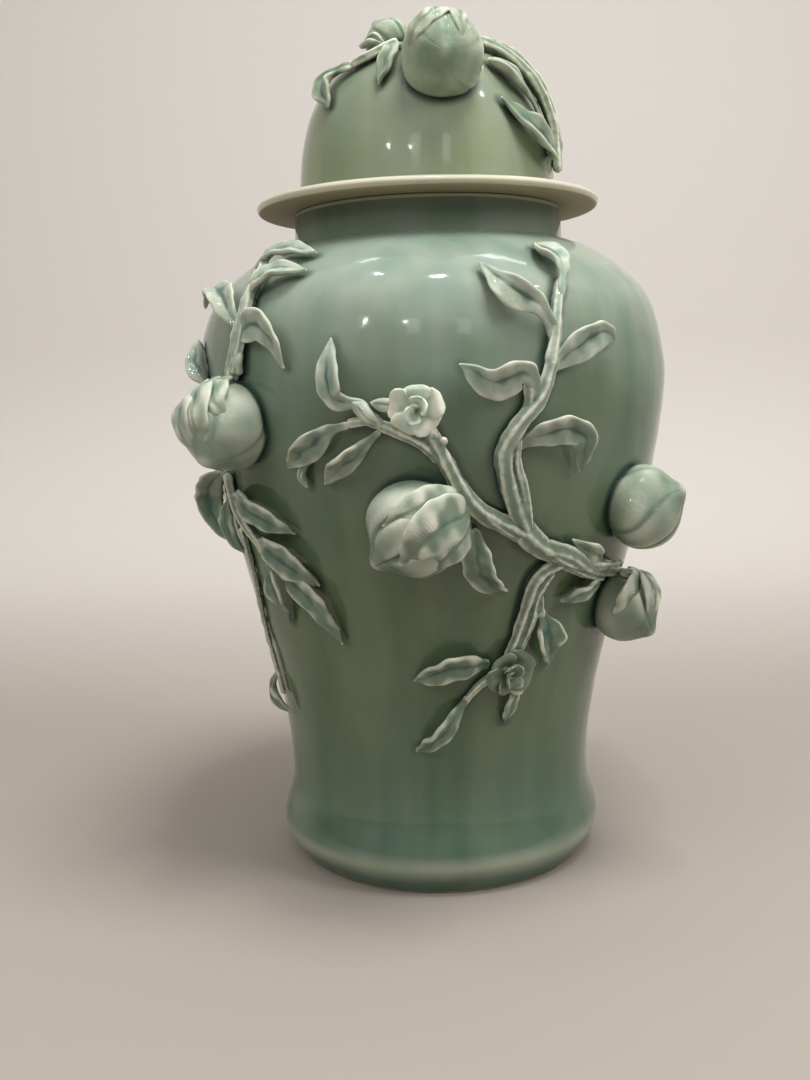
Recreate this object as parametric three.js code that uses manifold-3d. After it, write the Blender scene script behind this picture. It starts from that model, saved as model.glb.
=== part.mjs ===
// A covered celadon jar with peach branches laid on in relief.
// Millimetres, +Z up. The jar's axis is Z and it stands on z = 0; the front faces -Y.

import * as THREE from 'three';
import { mergeVertices } from 'three/addons/utils/BufferGeometryUtils.js';
import Module from 'manifold-3d';

const wasm = await Module();
wasm.setup();

// Jar body: the outside's radii from the foot up, and the height of the band below each of them
const footEdgeRadius = 130;
const flareRadius = 143;
const flareHeight = 24;
const waistRadius = 134;
const waistHeight = 42;
const lowerRadius = 139.5;
const lowerHeight = 66;
const middleRadius = 163.5;
const middleHeight = 105;
const upperRadius = 191;
const upperHeight = 103;
const bellyRadius = 200;
const bellyHeight = 82;
const shoulderRadius = 185;
const shoulderHeight = 58;
const collarRadius = 142;
const collarHeight = 37;
const neckRadius = 114.5;
const neckFootHeight = 10.5;
const neckHeight = 26.5;

// Jar body: thickness of the clay, and the ring that it stands on
const jarWall = 8;
const floorThickness = 12;
const footRecess = 7;
const footRingWidth = 14;
const rimEase = 2;

// Lid: a dome on a flange, with a ring under it that drops into the neck
const flangeRadius = 147;
const flangeThickness = 8;
const domeRadius = 109.5;
const domeHeight = 130;
const domeLean = 2.5;
const domeFillet = 5;
const lidWall = 7;
const locatingDepth = 22;
const locatingWall = 6;
const locatingClearance = 2.5;

// Gap left between pieces that touch
const seatGap = 0.3;

// Relief: usual sizes
const fruitRadius = 36;
const fruitLength = 70;
const beakLength = 12;
const branchRadius = 8;
const leafWidth = 20;
const leafThickness = 5;
const leafRibDepth = 1.6;
const stalkWidth = 5;
const flowerRadius = 18;
const petalThickness = 4.8;
const petalEdge = 2;
const petalSeat = 3;
const liftHeight = 10;

// Relief: how the forms swell, taper and curl, as shares
const fruitFullness = 0.08;
const beakTaper = 0.3;
const leafTipShare = 0.97;
const leafSwellPower = 0.8;
const heartShare = 0.45;
const heartLift = 0.25;
const petalCount = 5;
const petalSpread = 0.62;
const petalCurl = 0.42;
const petalReaches = [0.1, 0.45, 0.8, 1];

// How finely round shapes are divided
const roundSegments = 40;
const outlinePoints = 17;
const domePoints = 9;
const branchSides = 6;
const leafRings = 7;
const peachSegments = 14;
const peachRings = 9;
const heartSegments = 8;
const heartRings = 5;

// A place on the jar is written [degrees round from the front, percent of the way up to the rim, lift]
// with the lift off the wall in shares of liftHeight. Other sizes are shares of the usual ones above.
// A peach's beak points [to the right, up, outwards] as seen from in front of it. The path of a leaf
// over a peach is written that way too: from the peach's middle, in shares of its radius.
const jarPeaches = [
  { name: 'front_peach', at: [-4, 56.1, 1.3], points: [-0.75, -0.58, 0.3], radius: 1, length: 1, beak: 1 },
  {
    name: 'left_peach',
    at: [-48, 69.3, 1.3],
    points: [0.3, -0.53, 0.78],
    radius: 0.94,
    length: 1.09,
    beak: 0.92,
  },
  {
    name: 'right_upper_peach',
    at: [56, 56.5, 1.3],
    points: [0.16, 0.6, 0.75],
    radius: 0.92,
    length: 0.89,
    beak: 0.75,
  },
  {
    name: 'right_lower_peach',
    at: [61, 41.5, 1.5],
    points: [-0.1, -0.41, 0.91],
    radius: 0.81,
    length: 0.79,
    beak: 0.67,
  },
  {
    name: 'back_upper_peach',
    at: [176, 58.1, 1.3],
    points: [0.7, -0.5, 0.5],
    radius: 1,
    length: 1,
    beak: 1,
  },
  {
    name: 'back_lower_peach',
    at: [150, 39, 1.3],
    points: [-0.5, -0.6, 0.6],
    radius: 0.86,
    length: 0.86,
    beak: 0.83,
  },
];

const jarBranches = [
  {
    name: 'front_trunk',
    path: [[19, 55.1, 0.4], [25, 52.3, 0.4], [34, 50.7, 0.4], [42, 48.6, 0.4], [56, 47.1, 0.5]],
    radii: [1, 0.75],
  },
  {
    name: 'limb_branch',
    path: [[20, 54.9, 0.3], [9, 58.1, 0.3], [3.5, 63.2, 0.4], [0.5, 67, 0.4], [-2, 70, 0.4]],
    radii: [0.94, 0.56],
    twigs: [
      {
        path: [[0, 66.1, 0.2], [-5, 67.7, 0.2], [-9, 68.8, 0.2], [-13, 69.9, 0.2], [-18, 69.1, 0.3]],
        radii: [0.5, 0.38],
      },
    ],
  },
  {
    name: 'riser_branch',
    path: [
      [22, 54.2, 0.3], [16.5, 60.8, 0.3], [15, 65.3, 0.3], [18, 69, 0.4],
      [22.5, 72.2, 0.3], [25.5, 78, 0.3], [28, 84.1, 0.3], [31, 87.4, 0.3],
    ],
    radii: [0.94, 0.5],
    twigs: [
      { path: [[20, 70, 0.2], [20, 72.6, 0.2], [18.5, 75.1, 0.3]], radii: [0.5, 0.38] },
    ],
  },
  {
    name: 'falling_branch',
    path: [
      [33, 50, 0.3], [26, 47.7, 0.3], [24, 43.3, 0.3], [22, 38.8, 0.3],
      [19, 34.7, 0.3], [13, 32.7, 0.3], [8, 29.8, 0.3],
    ],
    radii: [0.81, 0.44],
    twigs: [
      { path: [[26, 47.3, 0.2], [28, 43.3, 0.2], [31, 40.8, 0.3]], radii: [0.5, 0.38] },
    ],
  },
  {
    name: 'left_riser',
    path: [[-48, 75.5, 0.3], [-46, 80.3, 0.3], [-45.5, 84.8, 0.3], [-46.5, 89.7, 0.3], [-50, 92.1, 0.3]],
    radii: [0.69, 0.44],
  },
  {
    name: 'left_runner',
    path: [[-57, 62.3, 0.3], [-57, 56, 0.3], [-51, 52.3, 0.3], [-45, 48.4, 0.3], [-41, 46.9, 0.3]],
    radii: [0.63, 0.44],
  },
  {
    name: 'left_trail',
    path: [[-59, 54.2, 0.2], [-62, 45.1, 0.3], [-66, 37, 0.3], [-66, 30.1, 0.3], [-66, 27.1, 0.3]],
    radii: [0.44, 0.38],
  },
  {
    name: 'back_branch',
    path: [
      [150, 46.2, 0.3], [160, 52.3, 0.3], [186, 67.1, 0.3],
      [193, 74, 0.3], [190, 81.2, 0.3], [196, 86.6, 0.3],
    ],
    radii: [0.88, 0.5],
    twigs: [
      {
        path: [[161, 52.7, 0.3], [148, 57.8, 0.3], [136, 63.5, 0.3], [130, 69.3, 0.3]],
        radii: [0.63, 0.44],
      },
      { path: [[189, 69.5, 0.2], [205, 68.6, 0.3], [219, 63.2, 0.3]], radii: [0.56, 0.44] },
    ],
  },
];

const jarFlowers = [
  { name: 'upper_flower', at: [-3, 71.1, 0.2], radius: 1 },
  { name: 'lower_flower', at: [20.5, 34.5, 0.2], radius: 1 },
  { name: 'back_flower', at: [129, 71.1, 0.2], radius: 1.06 },
];

const jarLeaves = [
  { name: 'limb_leaf_end', path: [[-17, 69.3, 0.1], [-25, 66.8, 0.8], [-33, 63.7, 0.5]], width: 1 },
  { name: 'limb_leaf_low', path: [[-11, 68.6, 0.1], [-17, 65.2, 0.7], [-23.5, 61.6, 0.5]], width: 0.85 },
  {
    name: 'limb_leaf_top',
    path: [[-11, 69.1, 0.1], [-15, 73.3, 0.6], [-19, 76.2, 0.9], [-21, 80.3, 0.5]],
    width: 0.85,
  },
  { name: 'riser_leaf_left_top', path: [[24.5, 80, 0.1], [22, 84.8, 1], [12, 88.8, 0.6]], width: 1.05 },
  { name: 'riser_leaf_right', path: [[26, 76, 0.1], [34, 79.8, 0.9], [42, 79.4, 0.7]], width: 0.9 },
  { name: 'riser_leaf_left_low', path: [[19.5, 73.6, 0.1], [13, 75.3, 1], [6, 74.9, 0.6]], width: 1.05 },
  {
    name: 'riser_leaf_droop',
    path: [[20, 66.8, 0.1], [27, 68.8, 1.1], [31, 66.8, 1.3], [33, 62.1, 0.8]],
    width: 0.9,
  },
  { name: 'riser_leaf_crown', path: [[29.5, 84.8, 0.1], [32, 88.3, 0.8], [34.5, 91.2, 0.7]], width: 1.3 },
  { name: 'fork_leaf_up', path: [[46, 48.6, 0.1], [40, 50.7, 0.8], [34, 52.9, 0.5]], width: 0.7 },
  { name: 'fork_leaf_down', path: [[49.5, 46.6, 0.1], [43, 45.1, 0.6], [35.5, 43.7, 0.4]], width: 0.75 },
  { name: 'falling_leaf_cup', path: [[31, 41.3, 0.1], [32, 37.9, 0.8], [34, 33.8, 0.4]], width: 0.95 },
  {
    name: 'falling_leaf_left',
    path: [[15, 35.6, 0.1], [7, 36.1, 0.9], [0, 35.9, 0.9], [-7, 33.4, 0.4]],
    width: 0.85,
  },
  {
    name: 'falling_leaf_tip',
    path: [[9, 30.1, 0.1], [2, 26.7, 0.8], [-2, 24.5, 0.8], [-7.5, 22.6, 0.4]],
    width: 0.85,
  },
  {
    name: 'front_peach_leaf',
    over: 'front_peach',
    path: [[1.44, 0.12, -0.5], [1.07, 0.36, 0.33], [0.38, 0.03, 1.0], [-0.34, -0.47, 0.93]],
    width: 1.5,
  },
  { name: 'front_peach_leaf_low', path: [[9, 55.6, 0.1], [11, 51.3, 0.9], [16, 46.2, 0.4]], width: 1 },
  {
    name: 'right_peach_leaf',
    over: 'right_lower_peach',
    path: [[-0.54, 1.16, -0.26], [-0.12, 1.19, 0.24], [-0.69, 0.45, 0.41], [-1.06, -0.42, 0.01]],
    width: 1.05,
  },
  { name: 'left_leaf_crown', path: [[-57, 91.2, 0.1], [-44, 92.4, 1.1], [-32, 92.4, 0.7]], width: 1 },
  { name: 'left_leaf_shoulder', path: [[-46, 86.1, 0.1], [-42, 89.7, 1], [-30, 89.5, 0.7]], width: 0.9 },
  { name: 'left_leaf_curl', path: [[-47, 82.7, 0.1], [-59, 87, 1], [-72, 87.4, 0.6]], width: 0.9 },
  {
    name: 'left_leaf_droop',
    path: [[-45, 82.1, 0.1], [-36, 83.2, 1.1], [-32.5, 80.9, 1.2], [-31.5, 76.4, 0.6]],
    width: 1,
  },
  { name: 'left_leaf_edge', path: [[-61, 74.7, 0.1], [-73, 79.8, 0.8], [-78, 83.4, 0.8]], width: 1 },
  {
    name: 'left_peach_leaf',
    over: 'left_peach',
    path: [[0, 1.21, -0.42], [0.17, 1.15, 0.19], [0.48, 0.68, 0.66], [0.79, 0.14, 0.69]],
    width: 1.2,
  },
  {
    name: 'left_leaf_under',
    path: [[-61, 62.3, 0.1], [-74, 59, 1.5], [-75, 55.8, 1.4], [-68, 50.5, 0.4]],
    width: 1,
  },
  { name: 'left_leaf_roll', path: [[-56, 58.1, 0.1], [-46, 57.8, 0.9], [-35, 54.3, 0.5]], width: 0.75 },
  { name: 'left_leaf_middle', path: [[-50, 52, 0.1], [-41, 50.7, 0.9], [-31, 46.9, 0.5]], width: 0.9 },
  { name: 'left_leaf_long', path: [[-43, 47.5, 0.1], [-33, 44.6, 0.9], [-27, 38.8, 0.5]], width: 0.8 },
  { name: 'left_trail_leaf', path: [[-66, 30.7, 0.1], [-69, 28, 0.8], [-62, 24.7, 0.4]], width: 0.8 },
  { name: 'back_leaf_top', path: [[193, 82.1, 0.1], [181, 86.3, 0.9], [172, 87.7, 0.5]], width: 1 },
  { name: 'back_leaf_crown', path: [[195, 85.6, 0.1], [200, 89.4, 0.9], [210, 91.3, 0.6]], width: 1.1 },
  { name: 'back_leaf_side', path: [[216, 63.9, 0.1], [227, 62.3, 0.9], [236, 58.1, 0.5]], width: 1 },
  {
    name: 'back_peach_leaf',
    over: 'back_upper_peach',
    path: [[0.38, 1.16, -0.32], [0.22, 0.82, 0.58], [0.11, 0.4, 0.92], [-0.22, -0.27, 0.96]],
    width: 1.5,
  },
  { name: 'back_leaf_right', path: [[133, 67.1, 0.1], [118, 69.3, 1], [104, 67.9, 0.7]], width: 1.1 },
];

// A place on the dome is written [degrees round from the front, percent of the way down over it, lift]
const lidPeaches = [
  {
    name: 'lid_peach',
    at: [8, 50.6, 1.4],
    points: [-0.1, -0.66, 0.72],
    radius: 0.89,
    length: 0.86,
    beak: 0.67,
  },
  {
    name: 'lid_small_peach',
    at: [-46, 19.6, 0.3],
    points: [-0.4, 0.1, 1],
    radius: 0.56,
    length: 0.54,
    beak: 0.75,
  },
];

const lidBranches = [
  {
    name: 'lid_twig_left',
    path: [[-18, 34.1, 0.3], [-30, 42.4, 0.3], [-42, 47.5, 0.3]],
    radii: [0.63, 0.5],
  },
  {
    name: 'lid_twig_right',
    path: [[35, 33.1, 0.3], [60, 38.2, 0.4], [74, 51.6, 0.5], [79, 69.7, 0.5], [76, 90.9, 0.4]],
    radii: [0.75, 0.5],
    twigs: [
      {
        path: [[48, 34.1, 0.4], [75, 39.3, 0.7], [84, 52.7, 0.8], [86, 68.2, 0.7], [80, 83.7, 0.4]],
        radii: [0.69, 0.56],
      },
    ],
  },
];

const lidLeaves = [
  {
    name: 'lid_peach_leaf',
    over: 'lid_peach',
    path: [[0.19, 1.39, -0.78], [0.24, 1.34, 0.09], [0.31, 0.93, 0.6], [0.55, 0.31, 0.81]],
    width: 1.2,
  },
  { name: 'lid_leaf_fork', path: [[-17, 36.2, 0.1], [-18, 45.4, 0.8], [-20, 57.8, 0.4]], width: 0.75 },
  { name: 'lid_leaf_left', path: [[-41, 46.5, 0.1], [-48, 53.2, 0.9], [-51, 61.5, 0.6]], width: 1 },
  {
    name: 'lid_leaf_curl',
    path: [[70, 77.5, 0.1], [55, 64, 0.9], [42, 51.6, 1], [35, 45.4, 0.6]],
    width: 1,
  },
  { name: 'lid_leaf_heart', path: [[66, 81.6, 0.1], [52, 75.4, 0.7], [33, 63, 0.4]], width: 1.1 },
];

const glaze = { color: 0x93ac9b, roughness: 0.12, metalness: 0 };
const paleGlaze = { color: 0xb9c7b2, roughness: 0.15, metalness: 0 };

// Outlines

// A smooth curve through points, even where they lie unevenly
const smooth = (points) => new THREE.CatmullRomCurve3(points, false, 'centripetal');

// Points of the jar's outside, from the edge of the foot to the rim
function jarOutline() {
  const bands = [
    [flareRadius, flareHeight],
    [waistRadius, waistHeight],
    [lowerRadius, lowerHeight],
    [middleRadius, middleHeight],
    [upperRadius, upperHeight],
    [bellyRadius, bellyHeight],
    [shoulderRadius, shoulderHeight],
    [collarRadius, collarHeight],
    [neckRadius, neckFootHeight],
  ];
  const corners = [new THREE.Vector3(footEdgeRadius, 0, 0)];
  for (const [radius, height] of bands) corners.push(new THREE.Vector3(radius, corners.at(-1).y + height, 0));
  const points = smooth(corners).getPoints(outlinePoints).map((p) => new THREE.Vector2(p.x, p.y));
  points.push(new THREE.Vector2(neckRadius, points.at(-1).y + neckHeight));
  return points;
}

// Points of the dome's outside, from the flange to the top
function domeOutline() {
  const foot = rimHeight + seatGap + flangeThickness;
  const points = [];
  for (let i = 0; i <= domePoints; i++) {
    const rise = Math.sin((i / domePoints) * Math.PI / 2);
    const radius = domeRadius * Math.sqrt(Math.max(0, 1 - rise ** 3)) - domeLean * Math.sin(Math.PI * rise);
    points.push(new THREE.Vector2(i === domePoints ? 0 : radius, foot + domeHeight * rise));
  }
  return points;
}

// The outline moved sideways: outwards for a positive distance, into the clay for a negative one
function offsetOutline(outline, distance) {
  return outline.map((point, i) => {
    const before = outline[Math.max(0, i - 1)];
    const after = outline[Math.min(outline.length - 1, i + 1)];
    const along = after.clone().sub(before).normalize();
    const moved = new THREE.Vector2(point.x + along.y * distance, point.y - along.x * distance);
    return point.x === 0 ? new THREE.Vector2(0, point.y + distance) : moved;
  });
}

// Where an outline is at a share counted in its segments: the radius, height and outward slope there
function outlineAt(outline, share) {
  const index = THREE.MathUtils.clamp(Math.floor(share), 0, outline.length - 2);
  const from = outline[index];
  const to = outline[index + 1];
  const along = to.clone().sub(from);
  const place = from.clone().add(along.clone().multiplyScalar(share - index));
  const out = new THREE.Vector2(along.y, -along.x).normalize();
  return { radius: place.x, height: place.y, out };
}

// Percent of the way up the jar as a share counted in the outline's segments
function jarShare(percent) {
  const height = (percent / 100) * rimHeight;
  const next = jarLine.findIndex((p) => p.y > height);
  const from = jarLine[next - 1];
  return next - 1 + (height - from.y) / (jarLine[next].y - from.y);
}

// Percent of the way down over the dome as a share counted in the outline's segments
function domeShare(percent) {
  const lengths = domeLine.slice(1).map((point, i) => point.distanceTo(domeLine[i]));
  let left = (percent / 100) * lengths.reduce((sum, length) => sum + length, 0);
  let index = lengths.length;
  while (left > lengths[index - 1] && index > 1) {
    left -= lengths[index - 1];
    index -= 1;
  }
  return index - left / lengths[index - 1];
}

// A place on a wall as a point, with the directions to the right, up and outwards there
function placeOn(wall, [around, percent, lift]) {
  const turn = THREE.MathUtils.degToRad(around);
  const spot = outlineAt(wall.line, wall.share(percent));
  const radial = new THREE.Vector3(Math.sin(turn), -Math.cos(turn), 0);
  const right = new THREE.Vector3(Math.cos(turn), Math.sin(turn), 0);
  const out = radial.clone().multiplyScalar(spot.out.x).setZ(spot.out.y);
  const up = out.clone().cross(right);
  const skin = radial.clone().multiplyScalar(spot.radius).setZ(spot.height);
  return { point: skin.addScaledVector(out, lift * liftHeight), right, up, out };
}

// A direction written [to the right, up, outwards] at a place
function directionAt(place, [right, up, out]) {
  return place.right.clone().multiplyScalar(right)
    .addScaledVector(place.up, up)
    .addScaledVector(place.out, out);
}

// The places along a leaf, on the wall or over a peach, where it faces away from both
function leafPlaces(wall, { over, path }) {
  if (!over) return path.map((place) => placeOn(wall, place));
  const fruit = wall.peaches.find((spec) => spec.name === over);
  const seat = placeOn(wall, fruit.at);
  return path.map((step) => {
    const away = directionAt(seat, step);
    const point = seat.point.clone().addScaledVector(away, fruit.radius * fruitRadius);
    return { point, out: away.normalize().add(seat.out).normalize() };
  });
}

// Solids

// A closed solid from any geometry whose faces join up
function solidOf(geometry) {
  const bare = geometry.index ? geometry.toNonIndexed() : geometry.clone();
  bare.deleteAttribute('normal');
  bare.deleteAttribute('uv');
  const merged = mergeVertices(bare, 1e-4);
  const index = merged.index.array;
  const kept = [];
  for (let i = 0; i < index.length; i += 3) {
    const [a, b, c] = [index[i], index[i + 1], index[i + 2]];
    if (a !== b && b !== c && c !== a) kept.push(a, b, c);
  }
  const mesh = new wasm.Mesh({
    numProp: 3,
    vertProperties: new Float32Array(merged.attributes.position.array),
    triVerts: new Uint32Array(kept),
  });
  return new wasm.Manifold(mesh);
}

// The largest connected body of a solid, which leaves out slivers that a cut has parted from it
function geometryOf(solid) {
  const mesh = solid.getMesh();
  const vertices = mesh.vertProperties;
  const faces = mesh.triVerts;
  const root = Array.from({ length: vertices.length / 3 }, (_, i) => i);
  const find = (i) => {
    while (root[i] !== i) i = root[i];
    return i;
  };
  for (let i = 0; i < faces.length; i += 3) {
    root[find(faces[i + 1])] = find(faces[i]);
    root[find(faces[i + 2])] = find(faces[i]);
  }
  const counts = new Map();
  for (let i = 0; i < faces.length; i += 3) {
    const body = find(faces[i]);
    counts.set(body, (counts.get(body) ?? 0) + 1);
  }
  const largest = [...counts].reduce((best, entry) => (entry[1] > best[1] ? entry : best))[0];
  const kept = [];
  for (let i = 0; i < faces.length; i += 3) {
    if (find(faces[i]) === largest) kept.push(faces[i], faces[i + 1], faces[i + 2]);
  }
  const geometry = new THREE.BufferGeometry();
  geometry.setAttribute('position', new THREE.BufferAttribute(new Float32Array(vertices), 3));
  geometry.setIndex(kept);
  return geometry;
}

// A turned solid from an outline of [radius, height] that starts and ends on the axis
function turned(outline, segments = roundSegments) {
  const geometry = new THREE.LatheGeometry(outline, segments);
  geometry.rotateX(Math.PI / 2);
  return solidOf(geometry);
}

// A closed skin over rings of equally many points, flat at both ends
function loft(rings) {
  const count = rings[0].length;
  const last = (rings.length - 1) * count;
  const faces = [];
  for (let ring = 0; ring < last; ring += count) {
    for (let i = 0; i < count; i++) {
      const next = (i + 1) % count;
      faces.push(ring + i, ring + next, ring + count + i);
      faces.push(ring + next, ring + count + next, ring + count + i);
    }
  }
  for (let i = 1; i < count - 1; i++) {
    faces.push(0, i + 1, i);
    faces.push(last, last + i, last + i + 1);
  }
  const geometry = new THREE.BufferGeometry();
  geometry.setFromPoints(rings.flat());
  geometry.setIndex(faces);
  return solidOf(geometry);
}

// Points along a line of places, each with the directions across the line and away from the wall
function stationsAlong(places, count) {
  const line = smooth(places.map((place) => place.point));
  const outs = smooth(places.map((place) => place.out));
  return Array.from({ length: count + 1 }, (_, i) => {
    const share = i / count;
    const tangent = line.getTangent(share);
    const across = tangent.clone().cross(outs.getPoint(share)).normalize();
    const out = across.clone().cross(tangent).normalize();
    return { share, point: line.getPoint(share), tangent, across, out };
  });
}

// The point beside a station, by a distance across and a distance outwards
function beside(station, across, out) {
  return station.point.clone().addScaledVector(station.across, across).addScaledVector(station.out, out);
}

// A rolled coil of clay that thins from its first radius to its second
function coil(wall, { path, radii }, grow) {
  const places = path.map((place) => placeOn(wall, place));
  const rings = stationsAlong(places, (path.length - 1) * 2).map((station) => {
    const radius = branchRadius * THREE.MathUtils.lerp(radii[0], radii[1], station.share) + grow;
    return Array.from({ length: branchSides }, (_, i) => {
      const turn = (-2 * Math.PI * i) / branchSides;
      return beside(station, radius * Math.cos(turn), radius * Math.sin(turn));
    });
  });
  return loft(rings);
}

function branch(wall, spec, grow) {
  let solid = coil(wall, spec, grow);
  for (const twig of spec.twigs ?? []) solid = solid.add(coil(wall, twig, grow));
  return solid;
}

// A pinched leaf: a stalk that widens to its full width, with its middle rib sunk, and a point
function leaf(wall, spec, grow) {
  const rings = stationsAlong(leafPlaces(wall, spec), leafRings).map((station) => {
    const swell = Math.sin(Math.PI * Math.min(leafTipShare, station.share) ** leafSwellPower);
    const half = Math.max(stalkWidth * (1 - station.share), leafWidth * spec.width * swell) / 2 + grow;
    const thick = (leafThickness * (1 + swell)) / 4 + grow;
    const rib = thick - leafRibDepth * swell;
    const section = [[-half, 0], [-half / 2, thick], [0, rib], [half / 2, thick], [half, 0], [0, -thick]];
    return section.map(([across, out]) => beside(station, across, out));
  });
  return loft(rings);
}

// A peach: round at the stalk, drawn out to a beak
function peach(wall, { at, radius, length, beak, points }, grow) {
  const widest = fruitRadius * radius + grow;
  const halfLength = (fruitLength * length) / 2 + grow;
  const outline = Array.from({ length: peachRings + 1 }, (_, i) => {
    const turn = Math.PI * i / peachRings;
    const rise = (1 - Math.cos(turn)) / 2;
    const swell = Math.sin(turn) * (1 + fruitFullness * Math.cos(turn)) * (1 - beakTaper * rise ** 4);
    const round = i % peachRings === 0 ? 0 : swell * widest;
    return new THREE.Vector2(round, beakLength * beak * rise ** 6 - halfLength * Math.cos(turn));
  });
  const geometry = new THREE.LatheGeometry(outline, peachSegments);
  const place = placeOn(wall, at);
  const axis = directionAt(place, points).normalize();
  geometry.applyQuaternion(new THREE.Quaternion().setFromUnitVectors(new THREE.Vector3(0, 1, 0), axis));
  geometry.translate(...place.point);
  return solidOf(geometry);
}

// A blossom: a domed heart, and petals that lean out around it
function flower(wall, { at, radius }, grow) {
  const place = placeOn(wall, at);
  const size = flowerRadius * radius;
  const heart = new THREE.SphereGeometry(size * heartShare + grow, heartSegments, heartRings);
  heart.translate(...place.point.clone().addScaledVector(place.out, size * heartLift));
  let solid = solidOf(heart);
  for (let i = 0; i < petalCount; i++) {
    const turn = (2 * Math.PI * i) / petalCount;
    const away = directionAt(place, [Math.cos(turn), Math.sin(turn), 0]);
    const across = away.clone().cross(place.out);
    const thick = petalThickness / 2 + grow;
    const rings = petalReaches.map((reach) => {
      const half = size * petalSpread * Math.sin(Math.PI * (0.15 + 0.65 * reach)) + grow;
      const point = place.point.clone()
        .addScaledVector(away, size * reach)
        .addScaledVector(place.out, petalSeat + size * petalCurl * reach ** 2);
      const section = [[-half, petalEdge], [0, thick], [half, petalEdge], [0, -thick]];
      return section.map(([side, up]) => beside({ point, across, out: place.out }, side, up));
    });
    solid = solid.add(loft(rings));
  }
  return solid;
}

// The two clay bodies

function jarBody() {
  const boreRadius = neckRadius - jarWall;
  const ringInside = footEdgeRadius - footRingWidth;
  const floor = footRecess + floorThickness;
  const outside = jarLine.slice(0, -1);
  const inside = offsetOutline(jarLine, -jarWall)
    .filter((p) => p.y > floor + jarWall && p.y < rimHeight - rimEase);
  const turn = (radius, height) => new THREE.Vector2(radius, height);
  return turned([
    turn(0, footRecess),
    turn(ringInside - footRecess / 2, footRecess),
    turn(ringInside, 0),
    ...outside,
    turn(neckRadius, rimHeight - rimEase),
    turn(neckRadius - rimEase, rimHeight),
    turn(boreRadius + rimEase, rimHeight),
    turn(boreRadius, rimHeight - rimEase),
    ...inside.reverse(),
    turn(inside.at(-1).x - floorThickness / 2, floor),
    turn(0, floor),
  ]);
}

function lidBody() {
  const under = rimHeight + seatGap;
  const over = under + flangeThickness;
  const edge = flangeThickness / 2;
  const ringOutside = neckRadius - jarWall - locatingClearance;
  const ringInside = ringOutside - locatingWall;
  const inside = offsetOutline(domeLine, -lidWall);
  const turn = (radius, height) => new THREE.Vector2(radius, height);
  return turned([
    ...inside.reverse(),
    turn(ringInside, under),
    turn(ringInside, under - locatingDepth),
    turn(ringOutside, under - locatingDepth),
    turn(ringOutside, under),
    turn(flangeRadius - edge, under),
    turn(flangeRadius - edge * 0.3, under + edge * 0.3),
    turn(flangeRadius, under + edge),
    turn(flangeRadius - edge * 0.3, over - edge * 0.3),
    turn(flangeRadius - edge, over),
    turn(domeRadius + domeFillet, over),
    turn(domeRadius + domeFillet * 0.3, over + domeFillet * 0.3),
    ...domeLine.slice(1),
  ]);
}

// What the sprigs are laid on: the clay's outside, wider by the gap
function jarClay() {
  const skin = offsetOutline(jarLine, seatGap);
  return turned([new THREE.Vector2(0, 0), ...skin, new THREE.Vector2(0, rimHeight)]);
}

function lidClay() {
  const under = rimHeight + seatGap;
  const over = under + flangeThickness + seatGap;
  const skin = offsetOutline(domeLine, seatGap).slice(1);
  return turned([
    new THREE.Vector2(0, under),
    new THREE.Vector2(flangeRadius, under),
    new THREE.Vector2(flangeRadius, over),
    new THREE.Vector2(domeRadius + domeFillet, over),
    ...skin,
  ]);
}

const jarLine = jarOutline();
const rimHeight = jarLine.at(-1).y;
const domeLine = domeOutline();
const jarSide = { line: jarLine, share: jarShare, clay: jarClay(), peaches: jarPeaches };
const domeSide = { line: domeLine, share: domeShare, clay: lidClay(), peaches: lidPeaches };

// Assembly

function addMesh(group, name, geometry, { color, roughness, metalness }) {
  const material = new THREE.MeshStandardMaterial({ color, roughness, metalness });
  const mesh = new THREE.Mesh(geometry, material);
  mesh.name = name;
  geometry.computeBoundingBox();
  group.add(mesh);
  return mesh;
}

// Each sprig is cut back where it lies on the clay, and on the sprigs that were laid before it
function laySprigs(group, wall, kinds) {
  const laid = [];
  for (const { make, specs, finish } of kinds) {
    for (const spec of specs) {
      let solid = make(wall, spec, 0).subtract(wall.clay);
      const reach = new THREE.Box3().setFromBufferAttribute(geometryOf(solid).attributes.position);
      for (const other of laid) {
        if (reach.intersectsBox(other.reach)) solid = solid.subtract(other.make(wall, other.spec, seatGap));
      }
      const mesh = addMesh(group, spec.name, geometryOf(solid), finish);
      laid.push({ make, spec, reach: mesh.geometry.boundingBox.clone().expandByScalar(seatGap) });
    }
  }
}

const jar = new THREE.Group();
addMesh(jar, 'jar_body', geometryOf(jarBody()), glaze);
laySprigs(jar, jarSide, [
  { make: peach, specs: jarPeaches, finish: glaze },
  { make: branch, specs: jarBranches, finish: glaze },
  { make: flower, specs: jarFlowers, finish: paleGlaze },
  { make: leaf, specs: jarLeaves, finish: glaze },
]);

const lid = new THREE.Group();
addMesh(lid, 'lid_body', geometryOf(lidBody()), glaze);
laySprigs(lid, domeSide, [
  { make: peach, specs: lidPeaches, finish: glaze },
  { make: branch, specs: lidBranches, finish: glaze },
  { make: leaf, specs: lidLeaves, finish: glaze },
]);

const coveredJar = new THREE.Group();
coveredJar.add(jar, lid);
export default coveredJar;
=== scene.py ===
import math
from functools import partial

import bpy
import numpy as np
from mathutils import Matrix, Vector
from mathutils.kdtree import KDTree


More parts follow.
